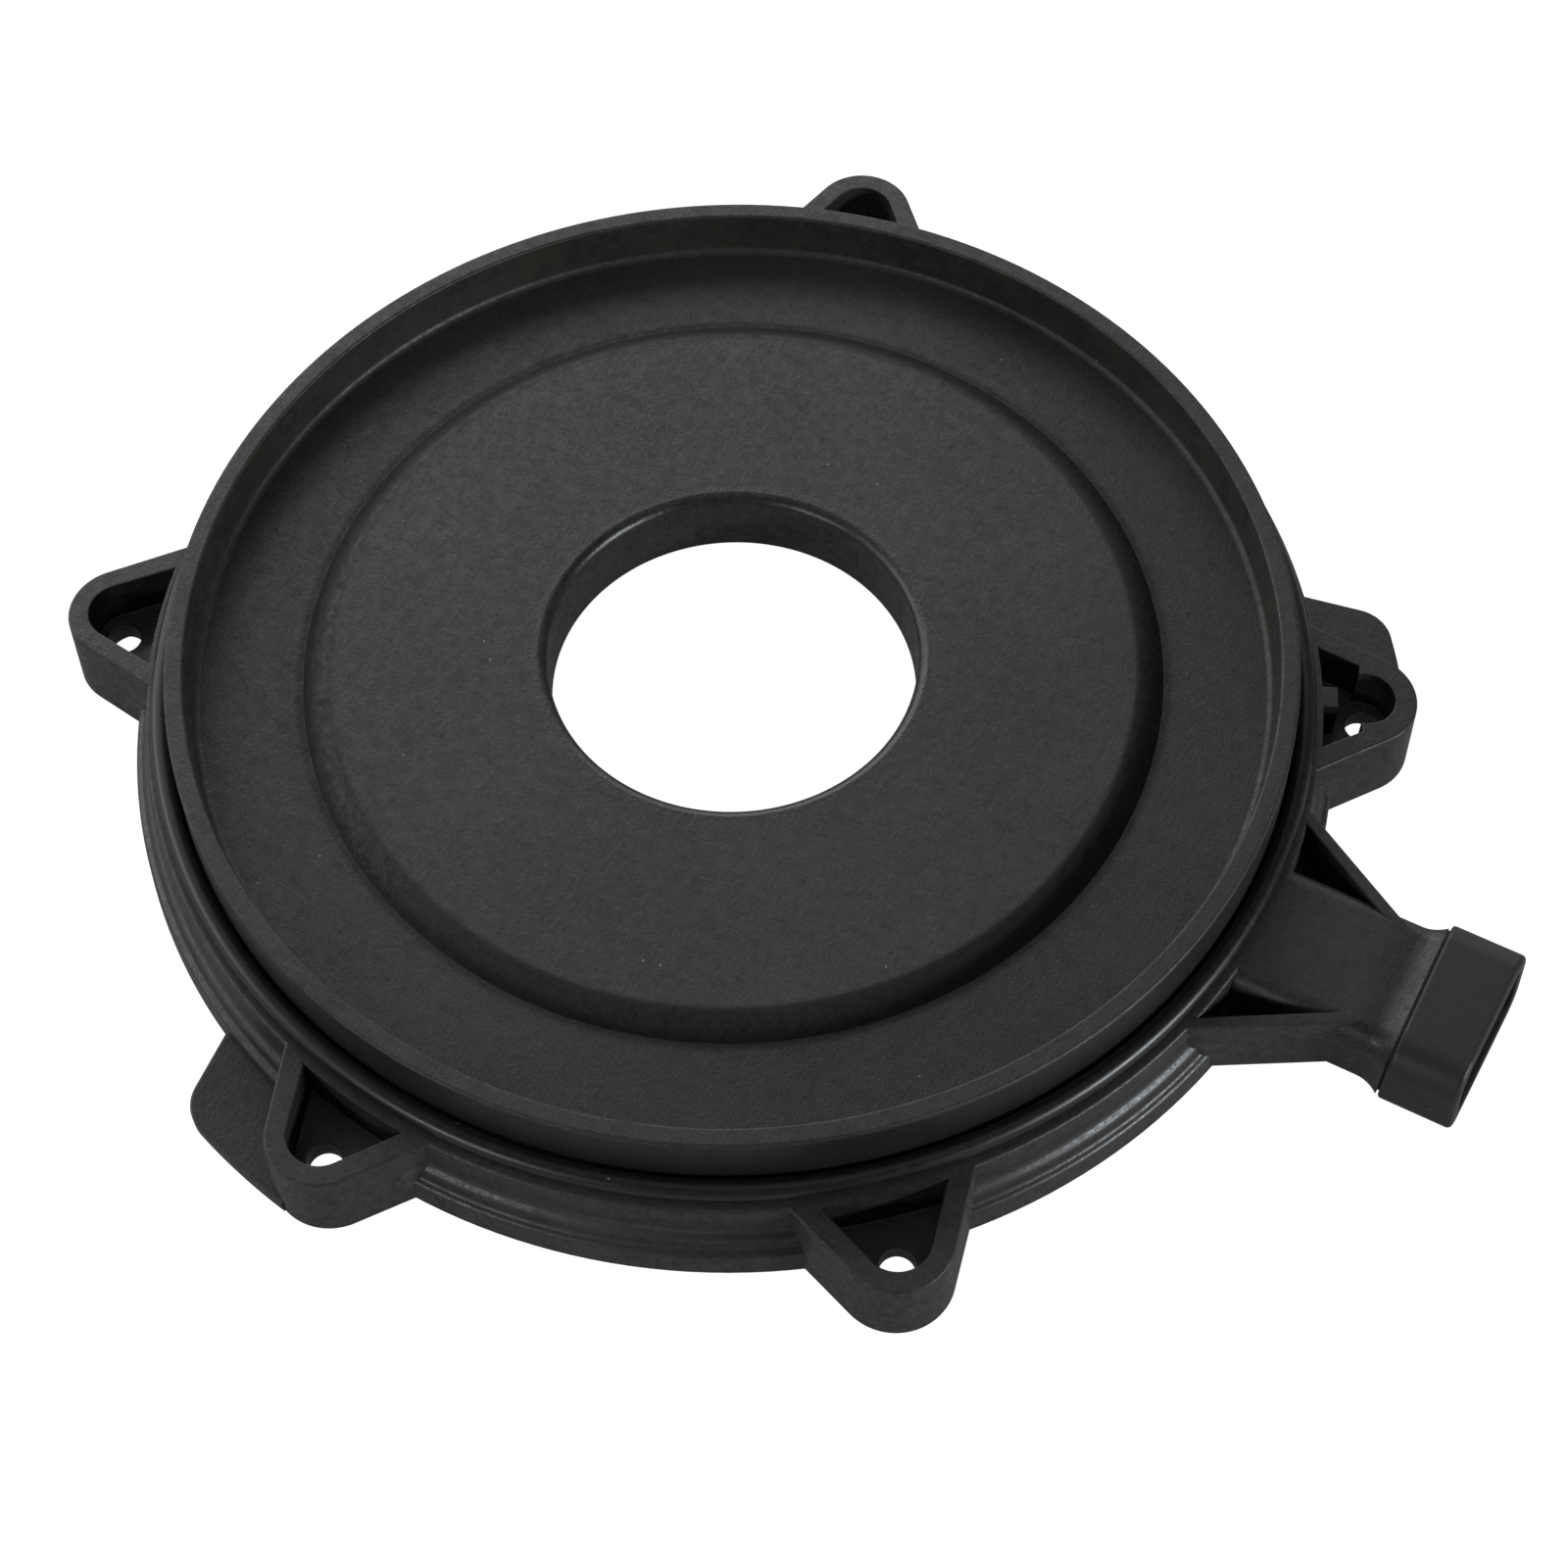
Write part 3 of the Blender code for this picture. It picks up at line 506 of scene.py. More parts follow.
def neck_rings():
    """The neck from inside the bowl to its flare, then the spigot that carries the collar."""
    half_height = (FLANGE_TOP - NECK_BOTTOM) / 2
    centre_z = (FLANGE_TOP + NECK_BOTTOM) / 2
    stations = [(NECK_START, 0.0), (FLARE_START, 0.0)]
    for i in range(1, FLARE_STEPS + 1):
        stations.append((FLARE_START + FLARE_LENGTH * i / FLARE_STEPS,
                         FLARE_GROW * (i / FLARE_STEPS) ** FLARE_POWER))
    rings = [section(x, NECK_HALF_WIDTH + grow, half_height + FLARE_RISE * grow, centre_z,
                     NECK_TOP_CORNER + grow, NECK_FOOT_CORNER + grow) for x, grow in stations]
    return rings + [section(x, *SPIGOT) for x in SPIGOT_SPAN]


def outer_blocks():
    """What is moulded on to the bowl: lugs, wings, neck, webs and the gussets' floor."""
    blocks = []
    levels = [(0.0, LUG_FOOT_EASE - LUG_DRAFT), (LUG_FOOT_MIDDLE, LUG_FOOT_MIDDLE - LUG_DRAFT),
              (LUG_FOOT_EASE, -LUG_DRAFT)] + rounding(FLANGE_TOP, LUG_TOP_EDGE)
    for angle in LUG_ANGLES:
        blocks.append(stacked("lug", lug_outline, levels, angle))
    levels = [(0.0, FOOT_CHAMFER), (FOOT_CHAMFER, 0.0)] + rounding(WING_TOP, WING_EDGE)
    for index, side in WINGS:
        blocks.append(stacked("wing", wing_outline(side), levels, LUG_ANGLES[index]))
    blocks.append(lofted("neck", neck_rings()))
    levels = [(NECK_BOTTOM, FOOT_CHAMFER), (NECK_BOTTOM + FOOT_CHAMFER, 0.0)]
    levels += rounding(FLANGE_TOP, WEB_EDGE)
    for side in (1, -1):
        blocks.append(stacked("web", web_outline(side), levels))
    gusset = [*GUSSET_SIDE, *((x, -y) for x, y in reversed(GUSSET_SIDE))]
    blocks.append(lofted("gusset_floor", [[(x, y + NECK_OFFSET, z) for x, y in gusset]
                                          for z in (NECK_BOTTOM, GUSSET_TOP)]))
    return blocks


def bowl_cavity():
    """The inlet, the open channel and the rebate for the dish plate."""
    under, over = FLOOR_BOTTOM - 1.0, 30.0
    lip = INLET_RADIUS + INLET_LIP_WIDTH
    eased = REBATE_RADIUS + REBATE_EASE
    return turned("cavity", filleted([
        (0.0, under, 0.0), (INLET_RADIUS, under, 0.0), (INLET_RADIUS, INLET_LIP_TOP, 0.3),
        (lip, INLET_LIP_TOP, 0.3), (lip, FLOOR_TOP, 0.4), (CHANNEL_RADIUS, FLOOR_TOP, 1.2),
        (CHANNEL_RADIUS, REBATE_TOP, 0.2), (REBATE_RADIUS, REBATE_TOP, 0.2),
        (REBATE_RADIUS, FLANGE_TOP - REBATE_EASE, 0.0), (eased, FLANGE_TOP, 0.0),
        (eased, over, 0.0), (0.0, over, 0.0)]))


def underside_recess():
    """The hollow under the floor, in which the radial ribs stand."""
    under = -5.0
    recess = turned("recess", filleted([
        (0.0, under, 0.0), (SKIRT_INNER, under, 0.0), (SKIRT_INNER, FLOOR_BOTTOM, 0.8),
        (0.0, FLOOR_BOTTOM, 0.0)]))
    bar = filleted([(-RIB_HALF, RIB_FOOT, RIB_EDGE), (RIB_HALF, RIB_FOOT, RIB_EDGE),
                    (RIB_HALF, RIB_ROOT, 0.0), (-RIB_HALF, RIB_ROOT, 0.0)], 3)
    rings = [[(x, y, z) for y, z in bar] for x in RIB_SPAN]
    ribs = [lofted("rib", rings, (i + 0.5) * 360.0 / RIB_COUNT) for i in range(RIB_COUNT)]
    combine(recess, ribs, "DIFFERENCE")
    return recess


def lug_cutters():
    """Each lug's open pocket, the hollow under it and its screw hole."""
    pocket = [(LUG_FLOOR_TOP, COVE), (LUG_FLOOR_TOP + COVE_MIDDLE, COVE_MIDDLE),
              (LUG_FLOOR_TOP + COVE, 0.0), (FLANGE_TOP - EASE, 0.0),
              (FLANGE_TOP - EASE_MIDDLE, -EASE_MIDDLE), (FLANGE_TOP, -EASE),
              (FLANGE_TOP + CUT_PAST, -EASE)]
    hollow = [(-CUT_PAST, 0.0), (LUG_FLOOR_BOTTOM - LUG_HOLLOW_EASE, 0.0),
              (LUG_FLOOR_BOTTOM, LUG_HOLLOW_EASE)]
    under, over = -1.0, 8.0
    hole = [(0.0, under), (LUG_HOLE_RADIUS, under), (LUG_HOLE_RADIUS, LUG_FLOOR_TOP - EASE),
            (LUG_HOLE_RADIUS + EASE_MIDDLE, LUG_FLOOR_TOP - EASE_MIDDLE),
            (LUG_HOLE_RADIUS + EASE, LUG_FLOOR_TOP), (LUG_HOLE_RADIUS + EASE, over), (0.0, over)]
    cutters = []
    for index, angle in enumerate(LUG_ANGLES):
        outline = locating_outline if index == LOCATING_LUG else pocket_outline
        cutters.append(stacked("pocket", outline, pocket, angle))
        cutters.append(stacked("under_pocket", pocket_outline, hollow, angle))
        turn = math.radians(angle)
        place = (LUG_HOLE_R * math.cos(turn), LUG_HOLE_R * math.sin(turn))
        cutters.append(turned("hole", hole, steps=48, place=place))
    return cutters


def make_housing():
    """The bowl with all that is moulded on to it, then everything that is cut out of it."""
    outer = filleted([(0.0, 0.0, 0.0), *SKIRT_PROFILE, (0.0, FLANGE_TOP, 0.0)], 6)
    bowl = turned("outlet_housing_moulding", outer)
    combine(bowl, outer_blocks(), "UNION")
    cutters = [bowl_cavity(), underside_recess(), *lug_cutters()]
    cutters.append(lofted("duct", [section(x, *DUCT) for x in DUCT_SPAN]))
    cutters += [turned("screw_hole", SCREW_HOLE, steps=32, place=spot) for spot in screw_places()]
    combine(bowl, cutters, "DIFFERENCE")
    return bowl


def make_dish():
    """Rim, low floor, ramp, plateau and hub, turned as one, with a boss for each screw below."""
    ramp = [(RAMP_FOOT, DISH_FLOOR, 0.25)]
    for i in range(1, RAMP_STEPS + 1):
        part = i / RAMP_STEPS
        ramp.append((RAMP_FOOT + (RAMP_CREST - RAMP_FOOT) * part,
                     PLATEAU - (PLATEAU - DISH_FLOOR) * (1.0 - part) ** RAMP_POWER, 0.0))
    corners = [
        (DISH_FOOT_R, DISH_SEAT, 0.15), (DISH_FOOT_R, DISH_FLOOR, 0.0), (RIM_OUTER_R, TOP, 0.55),
        (RIM_INNER_R, TOP, 0.45), (RIM_INNER_FOOT_R, DISH_FLOOR, 1.1), *ramp,
        (BORE, PLATEAU, 1.8), (BORE, HUB_BOTTOM, 0.4), (HUB_OUTER_R, HUB_BOTTOM, 0.4),
        (HUB_OUTER_R, PLATEAU_UNDER, 0.8), (PLATEAU_UNDER_R, PLATEAU_UNDER, 0.8),
        (FLOOR_UNDER_R[0], FLOOR_UNDER, 0.8), (FLOOR_UNDER_R[1], FLOOR_UNDER, 0.3),
        (SEAT_INNER_R, DISH_SEAT, 0.2)]
    dish = turned("dish_plate_moulding", filleted(corners, 6))
    bosses = [turned("boss", BOSS, steps=40, place=spot) for spot in screw_places()]
    combine(dish, bosses, "UNION")
    pilots = [turned("pilot", PILOT, steps=32, place=spot) for spot in screw_places()]
    combine(dish, pilots, "DIFFERENCE")
    return dish


def make_o_ring():
    circle = arc(CORD_CENTRE, CORD_RADIUS, 0.0, 360.0, CORD_STEPS)[:-1]
    return turned("rim_o_ring_cord", circle)


def collar_ring(x, inset, lean=0.0, skew=0.0):
    return section(x, COLLAR_HALF_WIDTH - inset, COLLAR_HALF_HEIGHT - inset, COLLAR_CENTRE,
                   COLLAR_TOP_CORNER - inset, COLLAR_FOOT_CORNER - inset, lean, skew, COLLAR_STEPS)


def make_collar():
    """The sleeve on the neck's spigot. Its mouth leans and is a little askew."""
    lean, skew = MOUTH_LEAN, MOUTH_SKEW
    outer = [collar_ring(COLLAR_BACK + along, inset) for along, inset in COLLAR_BACK_EDGE]
    outer.append(collar_ring(COLLAR_FRONT - COLLAR_FRONT_START, 0.0, lean, skew))
    for turn in COLLAR_FRONT_TURNS:
        back = COLLAR_FRONT_EDGE * (1 - math.sin(turn))
        outer.append(collar_ring(COLLAR_FRONT - back, COLLAR_FRONT_EDGE * (1 - math.cos(turn)),
                                 lean, skew))
    bore = [section(COLLAR_BACK, *COLLAR_BORE, steps=COLLAR_STEPS)]
    for behind, size in MOUTH_EDGE:
        bore.append(section(COLLAR_FRONT - behind, *size, None, lean, skew, COLLAR_STEPS))
    return lofted("outlet_collar_moulding", outer, hole_rings=bore)


def make_collar_gasket():
    """The thin seal squeezed between the neck's flare and the collar."""
    outer = [collar_ring(x, inset) for x, inset in SEAL_PROFILE]
    bore = [section(x, *SEAL_BORE, steps=COLLAR_STEPS)
            for x in (SEAL_PROFILE[0][0], SEAL_PROFILE[-1][0])]
    return lofted("collar_gasket_seal", outer, hole_rings=bore)


def make_screw(number, place):
    """A thread-forming screw, head down, with a six-lobe recess."""
    profile = [*SCREW_TIP]
    ridge_start, ridge_end, root = THREAD_RIDGE
    for i in range(THREAD_TURNS):
        z = THREAD_TOP - THREAD_PITCH * i
        profile += [(CORE_RADIUS, z), (THREAD_RADIUS, z - ridge_start),
                    (THREAD_RADIUS, z - ridge_end), (CORE_RADIUS, z - root)]
    profile += SCREW_HEAD
    screw = turned(f"plate_screw_detail_{number}", profile, steps=48, place=place)
    lobes = []
    for i in range(LOBE_STEPS):
        turn = math.tau * i / LOBE_STEPS
        radius = LOBE_RADIUS + LOBE_DEPTH * math.cos(LOBE_COUNT * turn)
        lobes.append((radius * math.cos(turn), radius * math.sin(turn)))
    rings = [[(place[0] + x * scale, place[1] + y * scale, z) for x, y in lobes]
             for z, scale in RECESS_LEVELS]
    combine(screw, [lofted("drive", rings)], "DIFFERENCE")
    return screw


def make_seal(number, place):
    """The ring squeezed under a screw's head."""
    return turned(f"screw_seal_detail_{number}", filleted(SEAL_RING), steps=64, place=place)


# ---------------------------------------------------------------- materials
class Graph:
    """A material's node graph, with short ways to add a node and to join two."""

    def __init__(self, name):
        self.material = bpy.data.materials.new(name)
        self.material.use_nodes = True
        self.tree = self.material.node_tree
        self.shader = self.tree.nodes["Principled BSDF"]
        self.place = self.add("ShaderNodeTexCoord").outputs["Object"]

    def add(self, kind, inputs=None, **settings):
        node = self.tree.nodes.new(kind)
        for key, value in settings.items():
            setattr(node, key, value)
        for key, value in (inputs or {}).items():
            if isinstance(value, bpy.types.NodeSocket):
                self.tree.links.new(value, node.inputs[key])
            else:
                node.inputs[key].default_value = value
        return node

    def noise(self, size_mm, detail=3.0, rough=0.6, vector=None, distortion=0.0):
        """Noise whose features are about size_mm across."""
        node = self.add("ShaderNodeTexNoise", {
            "Vector": vector or self.place, "Scale": 1.0 / (size_mm * MM), "Detail": detail,
            "Roughness": rough, "Distortion": distortion})
        return node.outputs["Fac"]

    def ramp(self, value, low, high, to_low=0.0, to_high=1.0, smooth=False):
        node = self.add("ShaderNodeMapRange", {
            "Value": value, "From Min": low, "From Max": high, "To Min": to_low, "To Max": to_high})
        node.clamp = True
        if smooth:
            node.interpolation_type = "SMOOTHSTEP"
        return node.outputs["Result"]

    def math(self, operation, a, b=0.0, c=0.0):
        return self.add("ShaderNodeMath", {0: a, 1: b, 2: c}, operation=operation).outputs[0]

    def mix(self, factor, a, b):
        node = self.add("ShaderNodeMix", {0: factor}, data_type="RGBA")
        for socket, value in ((node.inputs[6], a), (node.inputs[7], b)):
            if isinstance(value, bpy.types.NodeSocket):
                self.tree.links.new(value, socket)
            else:
                socket.default_value = (*value, 1.0)
        return node.outputs[2]

    def bump(self, height, depth_mm, strength=1.0, normal=None):
        inputs = {"Height": height, "Distance": depth_mm * MM, "Strength": strength}
        if normal is not None:
            inputs["Normal"] = normal
        return self.add("ShaderNodeBump", inputs).outputs["Normal"]

    def radius(self):
        """Distance from the bore axis, in millimetres."""
        kind = "ShaderNodeVectorMath"
        apart = self.add(kind, {0: self.place, 1: tuple(AXIS)}, operation="SUBTRACT")
        in_mm = {0: apart.outputs[0], 1: (1.0 / MM, 1.0 / MM, 0.0)}
        flat = self.add(kind, in_mm, operation="MULTIPLY")
        return self.add(kind, {0: flat.outputs[0]}, operation="LENGTH").outputs["Value"]

    def height(self):
        """Height above the ground, in millimetres."""
        parts = self.add("ShaderNodeSeparateXYZ", {0: self.place})
        return self.math("MULTIPLY", parts.outputs[2], 1.0 / MM)

    def band(self, value, centre, half, soft):
        """1 where value is within half of centre, falling to 0 over soft."""
        away = self.math("ABSOLUTE", self.math("SUBTRACT", value, centre))
        return self.ramp(away, half, half + soft, 1.0, 0.0, True)

    def stretched(self, x, y, z):
        """The place scaled along each axis: a share below 1 draws a pattern out along that axis."""
        node = self.add("ShaderNodeMapping", {"Vector": self.place, "Scale": (x, y, z)})
        return node.outputs["Vector"]

    def shade(self, **inputs):
        """Set or join the shader's sockets. An underscore stands for a space."""
        for key, value in inputs.items():
            socket = self.shader.inputs[key.replace("_", " ")]
            if isinstance(value, bpy.types.NodeSocket):
                self.tree.links.new(value, socket)
            else:
                socket.default_value = value


def dust(graph, share):
    """Sparse light specks about a third of a millimetre across."""
    cells = graph.add("ShaderNodeTexVoronoi", {"Vector": graph.place, "Scale": 1.0 / (3.0 * MM)})
    parts = graph.add("ShaderNodeSeparateColor", {0: cells.outputs["Color"]})
    near = graph.ramp(cells.outputs["Distance"], 0.035, 0.075, 1.0, 0.0)
    few = graph.math("LESS_THAN", parts.outputs[0], share)
    return graph.math("MULTIPLY", near, graph.math("MULTIPLY", few, parts.outputs[1]))


def speckled(graph, colour, share, strength=0.8, speck=SPECK):
    return graph.mix(graph.math("MULTIPLY", dust(graph, share), strength), colour, speck)


def moulded(name, dark, light, rough_low, rough_high, grain=1.0, mottle_mm=2.6):
    """Glass-filled moulded plastic: mottled, fibrous and finely grained.

    Returns its graph, colour, roughness, normal and a mask of the faces that look up.
    """
    graph = Graph(name)
    patches = graph.noise(mottle_mm, 5.0, 0.68, distortion=0.2)
    clouds = graph.noise(26.0, 3.0, 0.55)
    fine = graph.noise(0.62, 3.0, 0.8)
    fibre_a = graph.noise(0.6, 2.0, 0.6, graph.stretched(0.2, 1.0, 1.0))
    fibre_b = graph.noise(0.6, 2.0, 0.6, graph.stretched(1.0, 0.2, 1.0))
    fibres = graph.math("MAXIMUM", fibre_a, fibre_b)
    # the mould's upright walls are smoother than its flat faces
    surface = graph.add("ShaderNodeNewGeometry").outputs["Normal"]
    facing = graph.add("ShaderNodeSeparateXYZ", {0: surface}).outputs[2]
    flat = graph.ramp(graph.math("ABSOLUTE", facing), 0.35, 0.9, 0.2, 1.0)
    mean = 0.55
    fibres = graph.math("MULTIPLY_ADD", graph.math("SUBTRACT", fibres, mean), flat, mean)
    tone = graph.math("MULTIPLY", patches, 0.36)
    for pattern, share in ((fine, 0.42), (fibres, 0.20), (clouds, 0.20)):
        tone = graph.math("ADD", tone, graph.math("MULTIPLY", pattern, share))
    colour = graph.mix(graph.ramp(tone, 0.50, 0.74), dark, light)
    # a thin film of dust lies on what faces up
    upward = graph.ramp(facing, 0.88, 0.99)
    colour = graph.mix(graph.math("MULTIPLY", upward, 0.11), colour, DUST_FILM)
    gloss = graph.math("ADD", graph.math("MULTIPLY", patches, 0.45), graph.math("MULTIPLY", fine, 0.55))
    rough = graph.ramp(gloss, 0.38, 0.62, rough_high, rough_low)
    normal = graph.bump(fine, 0.080 * grain, flat)
    normal = graph.bump(fibres, 0.060 * grain, flat, normal)
    normal = graph.bump(patches, 0.035, flat, normal)
    return graph, colour, rough, normal, upward


def dish_material():
    graph, colour, rough, normal, _ = moulded(
        "dish_plastic", (0.0010, 0.0012, 0.0010), (0.034, 0.0345, 0.0320), 0.42, 0.62)
    radius = graph.radius()
    height = graph.height()
    # handling has polished the bore's edge and rubbed the rim's two top edges lighter
    bore_edge = graph.band(radius, BORE + 0.9, 0.9, 1.4)
    bore_edge = graph.math("MULTIPLY", bore_edge, graph.ramp(height, 18.5, 20.0))
    rim_edge = graph.math("MAXIMUM", graph.band(radius, RIM_OUTER_R, 0.16, 0.22),
                          graph.band(radius, RIM_INNER_R, 0.10, 0.2))
    rim_edge = graph.math("MULTIPLY", rim_edge, graph.ramp(height, TOP - 0.7, TOP - 0.3))
    lightened_patches = graph.math("MULTIPLY", graph.math("MAXIMUM", bore_edge, rim_edge), 0.15)
    lightened_patches = graph.math("MULTIPLY", lightened_patches, graph.ramp(graph.noise(1.2, 4.0, 0.7), 0.42, 0.62))
    colour = graph.mix(lightened_patches, colour, RIM_WEAR)
    # brownish stains lie in patches, mostly on the low floor
    stain = graph.math("MULTIPLY", graph.ramp(graph.noise(9.0, 5.0, 0.65), 0.44, 0.64),
                       graph.ramp(radius, 66.0, 72.0, 0.25, 0.8))
    colour = graph.mix(graph.math("MULTIPLY", stain, 0.6), colour, STAIN)
    colour = speckled(graph, colour, 0.13)
    # painted shade: the ramp and the corner at its foot are darkened
    foot = graph.band(radius, 67.4, 2.2, 1.4)
    colour = graph.mix(graph.math("MULTIPLY", foot, 0.85), colour, RAMP_SHADE)
    # painted shade: the rim's outer wall is darkened from just below its top down to the seal
    rim_wall_shade = graph.math("MULTIPLY", graph.ramp(radius, RIM_OUTER_R - 0.15, RIM_OUTER_R),
                         graph.ramp(height, TOP - 0.6, TOP - 1.2))
    colour = graph.mix(graph.math("MULTIPLY", rim_wall_shade, 0.65), colour, RIM_WALL_SHADE)
    # the bore's edge is polished, and streaks of the ramp too
    streaks = graph.ramp(graph.noise(1.4, 5.0, 0.75), 0.40, 0.62)
    rubbed = graph.math("MULTIPLY", graph.band(radius, 67.2, 1.6, 1.2), streaks)
    polish = graph.math("MAXIMUM", rubbed, bore_edge)
    rough = graph.math("MULTIPLY", rough, graph.ramp(polish, 0.0, 1.0, 1.0, POLISH))
    # the ramp under the painted shade is also made rougher
    rough = graph.math("MULTIPLY", rough, graph.ramp(foot, 0.0, 1.0, 1.0, 1.25))
    graph.shade(Base_Color=colour, Roughness=rough, Normal=normal)
    return graph.material


def housing_material():
    graph, colour, rough, normal, upward = moulded(
        "glass_filled_plastic", (0.0060, 0.0060, 0.0063), (0.039, 0.0395, 0.0412), 0.36, 0.56,
        grain=0.9, mottle_mm=2.0)
    height = graph.height()
    # painted highlight: the skirt's two shoulders are lightened in streaky patches, which are also made
    # glossier
    lower, upper = (graph.band(height, level, half, half) for level, half in SHOULDERS)
    shoulders = graph.math("MAXIMUM", lower, upper)
    shoulders = graph.math("MULTIPLY", shoulders, graph.ramp(graph.radius(), 99.5, 99.0))
    lightened_patches = graph.math("MULTIPLY", shoulders, graph.ramp(graph.noise(0.9, 5.0, 0.8), 0.38, 0.62))
    colour = graph.mix(graph.math("MULTIPLY", lightened_patches, 0.6), colour, SHOULDER_HIGHLIGHT)
    # painted light: the up-facing floors of the lugs' pockets and of the gussets are lightened
    pocket_floor_light = graph.math("MAXIMUM", graph.band(height, LUG_FLOOR_TOP, 0.3, 0.4),
                         graph.band(height, GUSSET_TOP, 0.2, 0.3))
    pocket_floor_light = graph.math("MULTIPLY", pocket_floor_light, graph.math("MULTIPLY", upward, 0.45))
    colour = graph.mix(pocket_floor_light, colour, POCKET_FLOOR_LIGHT)
    colour = speckled(graph, colour, 0.10)
    rough = graph.math("MULTIPLY", rough, graph.ramp(lightened_patches, 0.0, 1.0, 1.0, POLISH))
    graph.shade(Base_Color=colour, Roughness=rough, Normal=normal)
    return graph.material


def collar_material():
    graph, colour, rough, normal, _ = moulded(
        "smooth_collar_plastic", (0.0115, 0.0115, 0.0122), (0.021, 0.021, 0.022), 0.44, 0.52,
        grain=0.3, mottle_mm=3.5)
    colour = speckled(graph, colour, 0.05, 0.6, (0.3, 0.3, 0.3))
    graph.shade(Base_Color=colour, Roughness=rough, Normal=normal)
    return graph.material


def rubber_material(name, tone, rough_low, rough_high):
    graph = Graph(name)
    patches = graph.noise(1.8, 4.0, 0.6)
    fine = graph.noise(0.25, 2.0, 0.6)
    colour = graph.mix(graph.ramp(patches, 0.35, 0.7), tuple(0.75 * c for c in tone),
                       tuple(1.25 * c for c in tone))
    colour = speckled(graph, colour, 0.2, 0.7, (0.35, 0.35, 0.35))
    rough = graph.ramp(patches, 0.3, 0.7, rough_low, rough_high)
    graph.shade(Base_Color=colour, Roughness=rough, Normal=graph.bump(fine, 0.0015))
    return graph.material


def steel_material():
    graph = Graph("screw_steel")
    scratches = graph.noise(0.12, 3.0, 0.7, graph.stretched(1.0, 1.0, 0.2))
    stains = graph.noise(2.0, 4.0, 0.6)
    colour = graph.mix(graph.ramp(stains, 0.4, 0.65), (0.42, 0.42, 0.43), (0.60, 0.60, 0.61))
    rough = graph.ramp(scratches, 0.35, 0.65, 0.22, 0.38)
    graph.shade(Base_Color=colour, Roughness=rough, Metallic=1.0,
                Normal=graph.bump(scratches, 0.004))
    return graph.material


# ---------------------------------------------------------------- stage
def make_camera():
    """The camera stands at the front, in a frame turned about the rim's top centre."""
    away = Vector((0.0, -math.cos(CAMERA_ELEVATION), math.sin(CAMERA_ELEVATION)))
    right = Vector((1.0, 0.0, 0.0))
    up = right.cross(-away)
    upright = Matrix((right, up, away))
    aim = (Matrix.Rotation(CAMERA_TILT, 3, "X") @ Matrix.Rotation(CAMERA_PAN, 3, "Y")
           @ Matrix.Rotation(CAMERA_ROLL, 3, "Z"))
    camera = bpy.data.cameras.new("camera")
    camera.lens = CAMERA_LENS
    camera.sensor_width = SENSOR_WIDTH
    camera.clip_start = CLIP_START
    holder = placed("camera", camera)
    rotation = TURN @ (aim @ upright).transposed()
    position = TURN @ (away * CAMERA_DISTANCE) + AXIS + Vector((0.0, 0.0, cad_high.z))
    holder.matrix_world = Matrix.Translation(position) @ rotation.to_4x4()
    bpy.context.scene.camera = holder


def make_floor():
    bm = bmesh.new()
    bmesh.ops.create_circle(bm, cap_ends=True, radius=FLOOR_RADIUS, segments=96)
    mesh = bpy.data.meshes.new("floor")
    bm.to_mesh(mesh)
    bm.free()
    graph = Graph("floor_white")
    colour = graph.mix(graph.noise(60.0, 2.0, 0.5), (0.22, 0.22, 0.22), (0.24, 0.24, 0.24))
    seen = graph.add("ShaderNodeLightPath").outputs["Is Camera Ray"]
    glow = graph.ramp(seen, 0.0, 1.0, FLOOR_GLOW, 1.0)
    # from below the floor is clear, so that the underside can be looked at
    below = graph.add("ShaderNodeNewGeometry").outputs["Backfacing"]
    graph.shade(Base_Color=colour, Roughness=0.9, Emission_Color=(1.0, 1.0, 1.0, 1.0),
                Emission_Strength=glow, Alpha=graph.math("SUBTRACT", 1.0, below))
    mesh.materials.append(graph.material)
    placed("floor", mesh)


def eased(tree, value, low, high, to_low, to_high):
    """A smooth step of value from low..high to to_low..to_high."""
    node = tree.nodes.new("ShaderNodeMapRange")
    node.interpolation_type = "SMOOTHSTEP"
    tree.links.new(value, node.inputs["Value"])
    for key, number in (("From Min", low), ("From Max", high), ("To Min", to_low), ("To Max", to_high)):
        node.inputs[key].default_value = number
    return node.outputs["Result"]


def calculated(tree, operation, first, second):
    node = tree.nodes.new("ShaderNodeMath")
    node.operation = operation
    tree.links.new(first, node.inputs[0])
    tree.links.new(second, node.inputs[1])
    return node.outputs[0]


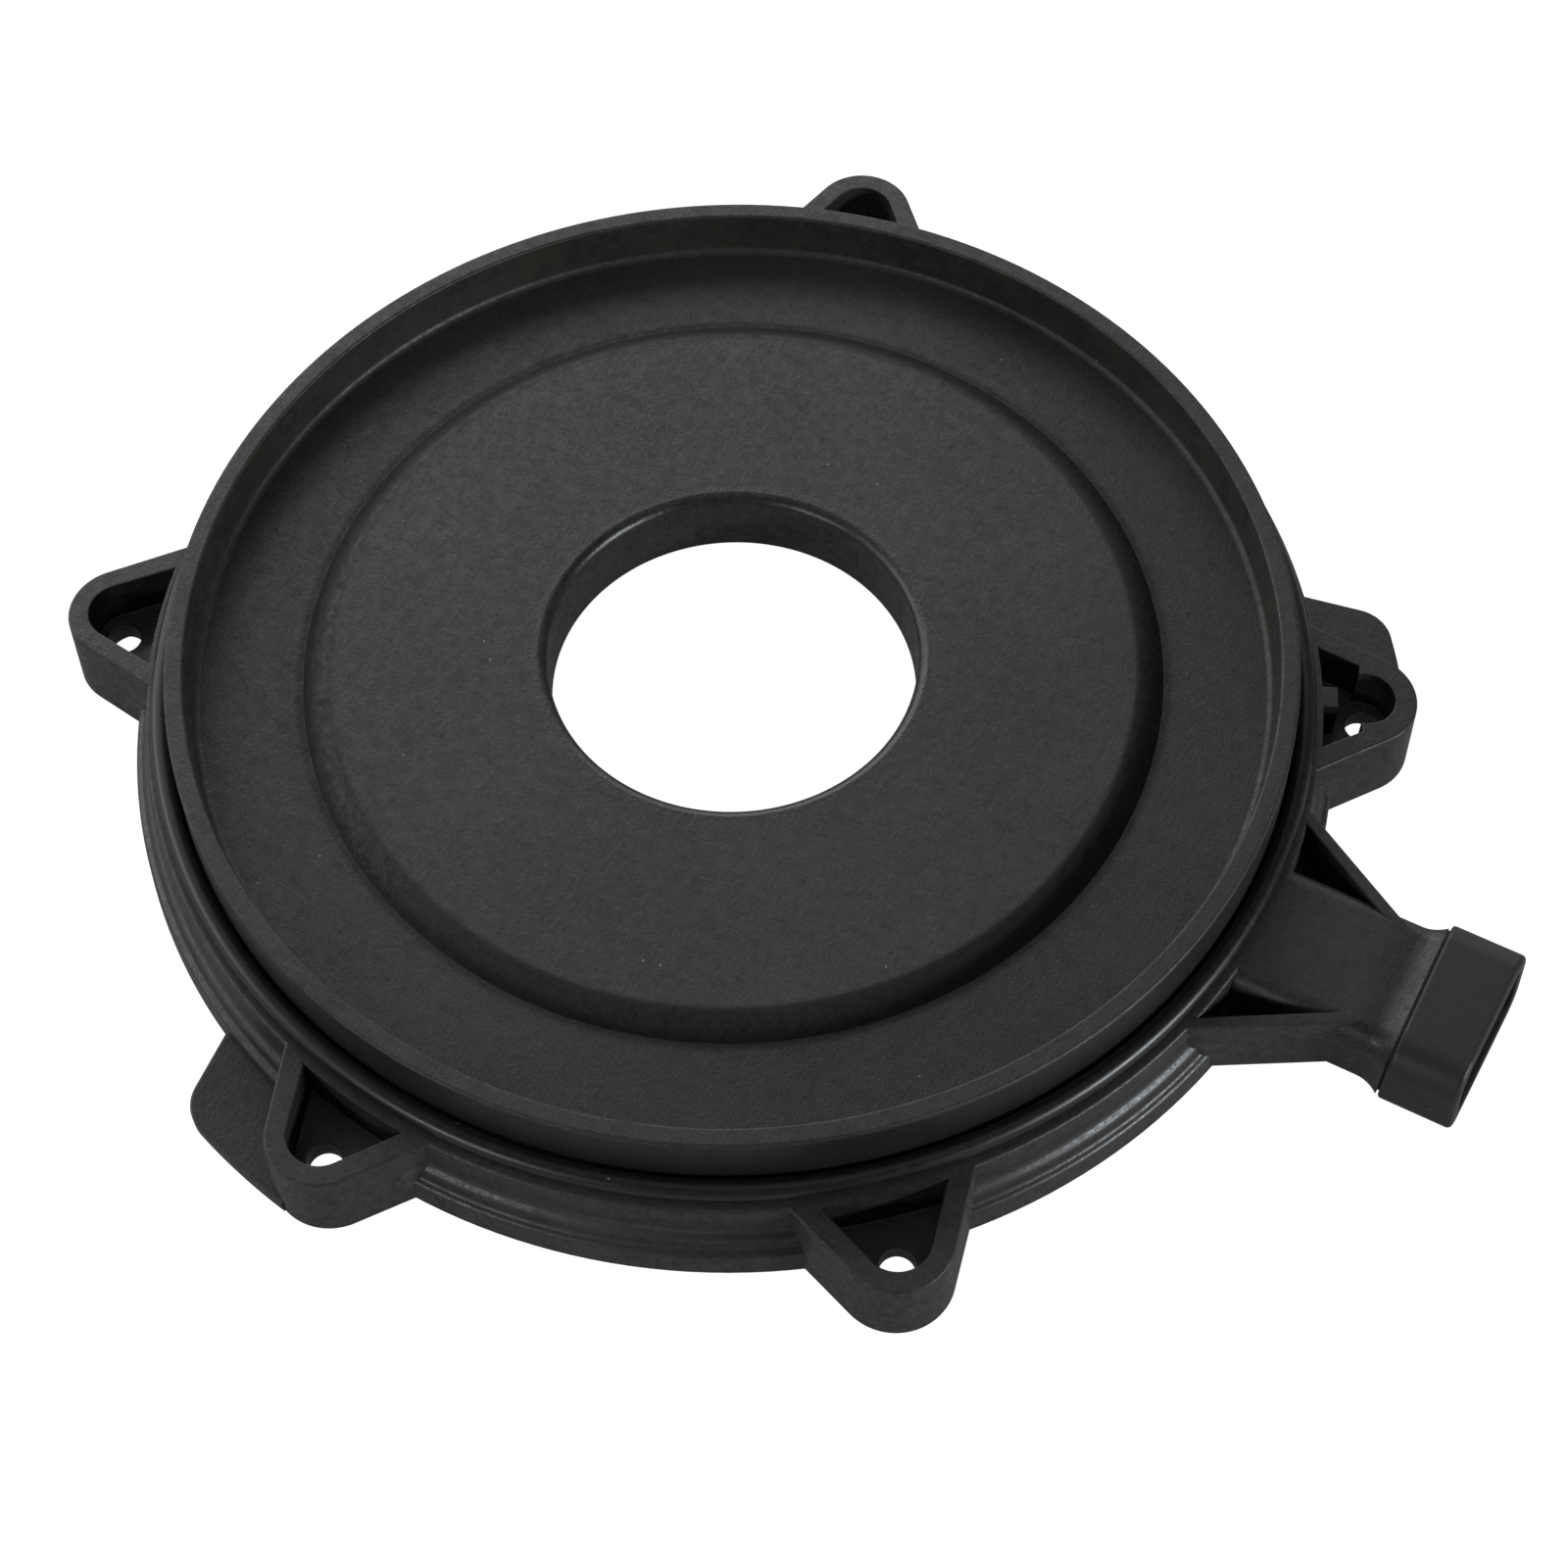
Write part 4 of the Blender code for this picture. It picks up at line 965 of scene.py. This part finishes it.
def make_world():
    """Surroundings bright near the horizon behind the part, darker overhead and on the near side.

    The camera itself sees them white.
    """
    world = bpy.data.worlds.new("studio")
    bpy.context.scene.world = world
    world.use_nodes = True
    tree = world.node_tree
    background = tree.nodes["Background"]
    ray = tree.nodes.new("ShaderNodeTexCoord").outputs["Generated"]
    parts = tree.nodes.new("ShaderNodeSeparateXYZ")
    tree.links.new(ray, parts.inputs[0])
    side = tree.nodes.new("ShaderNodeVectorMath")
    side.operation = "DOT_PRODUCT"
    side.inputs[1].default_value = TURN @ BRIGHT_SIDE
    tree.links.new(ray, side.inputs[0])
    strength = calculated(tree, "MULTIPLY", eased(tree, parts.outputs[2], *SKY_RISE),
                          eased(tree, side.outputs["Value"], *SKY_ROUND))
    seen = tree.nodes.new("ShaderNodeLightPath").outputs["Is Camera Ray"]
    tree.links.new(calculated(tree, "MAXIMUM", strength, seen), background.inputs["Strength"])
    background.inputs["Color"].default_value = (1.0, 1.0, 1.0, 1.0)


def make_lights():
    centre = AXIS + LIGHT_CENTRE
    for name, place, size, power in LIGHTS:
        light = bpy.data.lights.new(name, "AREA")
        light.shape = "RECTANGLE"
        light.size, light.size_y = size
        light.energy = power
        light.color = LIGHT_COLOUR
        holder = placed(name, light)
        holder.location = TURN @ Vector(place) + centre
        holder.rotation_euler = (centre - holder.location).to_track_quat("-Z", "Y").to_euler()


# ---------------------------------------------------------------- build
dish_plastic = dish_material()
housing_plastic = housing_material()
collar_plastic = collar_material()
ring_rubber = rubber_material("ring_rubber", (0.0095, 0.0095, 0.010), 0.33, 0.39)
gasket_rubber = rubber_material("gasket_rubber", (0.012, 0.012, 0.012), 0.5, 0.7)
steel = steel_material()

finish_piece(make_housing(), housing_plastic, "outlet_housing")
finish_piece(make_dish(), dish_plastic, "dish_plate")
finish_piece(make_o_ring(), ring_rubber, "rim_o_ring")
finish_piece(make_collar(), collar_plastic, "outlet_collar")
for count, spot in enumerate(screw_places(), start=1):
    finish_piece(make_screw(count, spot), steel, f"plate_screw_{count}")
    finish_piece(make_seal(count, spot), gasket_rubber, f"screw_seal_{count}")
finish_piece(make_collar_gasket(), gasket_rubber, "collar_gasket")
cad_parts["plate_gasket"].data.materials.clear()
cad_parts["plate_gasket"].data.materials.append(gasket_rubber)

make_camera()
make_floor()
make_world()
make_lights()
bpy.context.scene.view_settings.view_transform = "Standard"
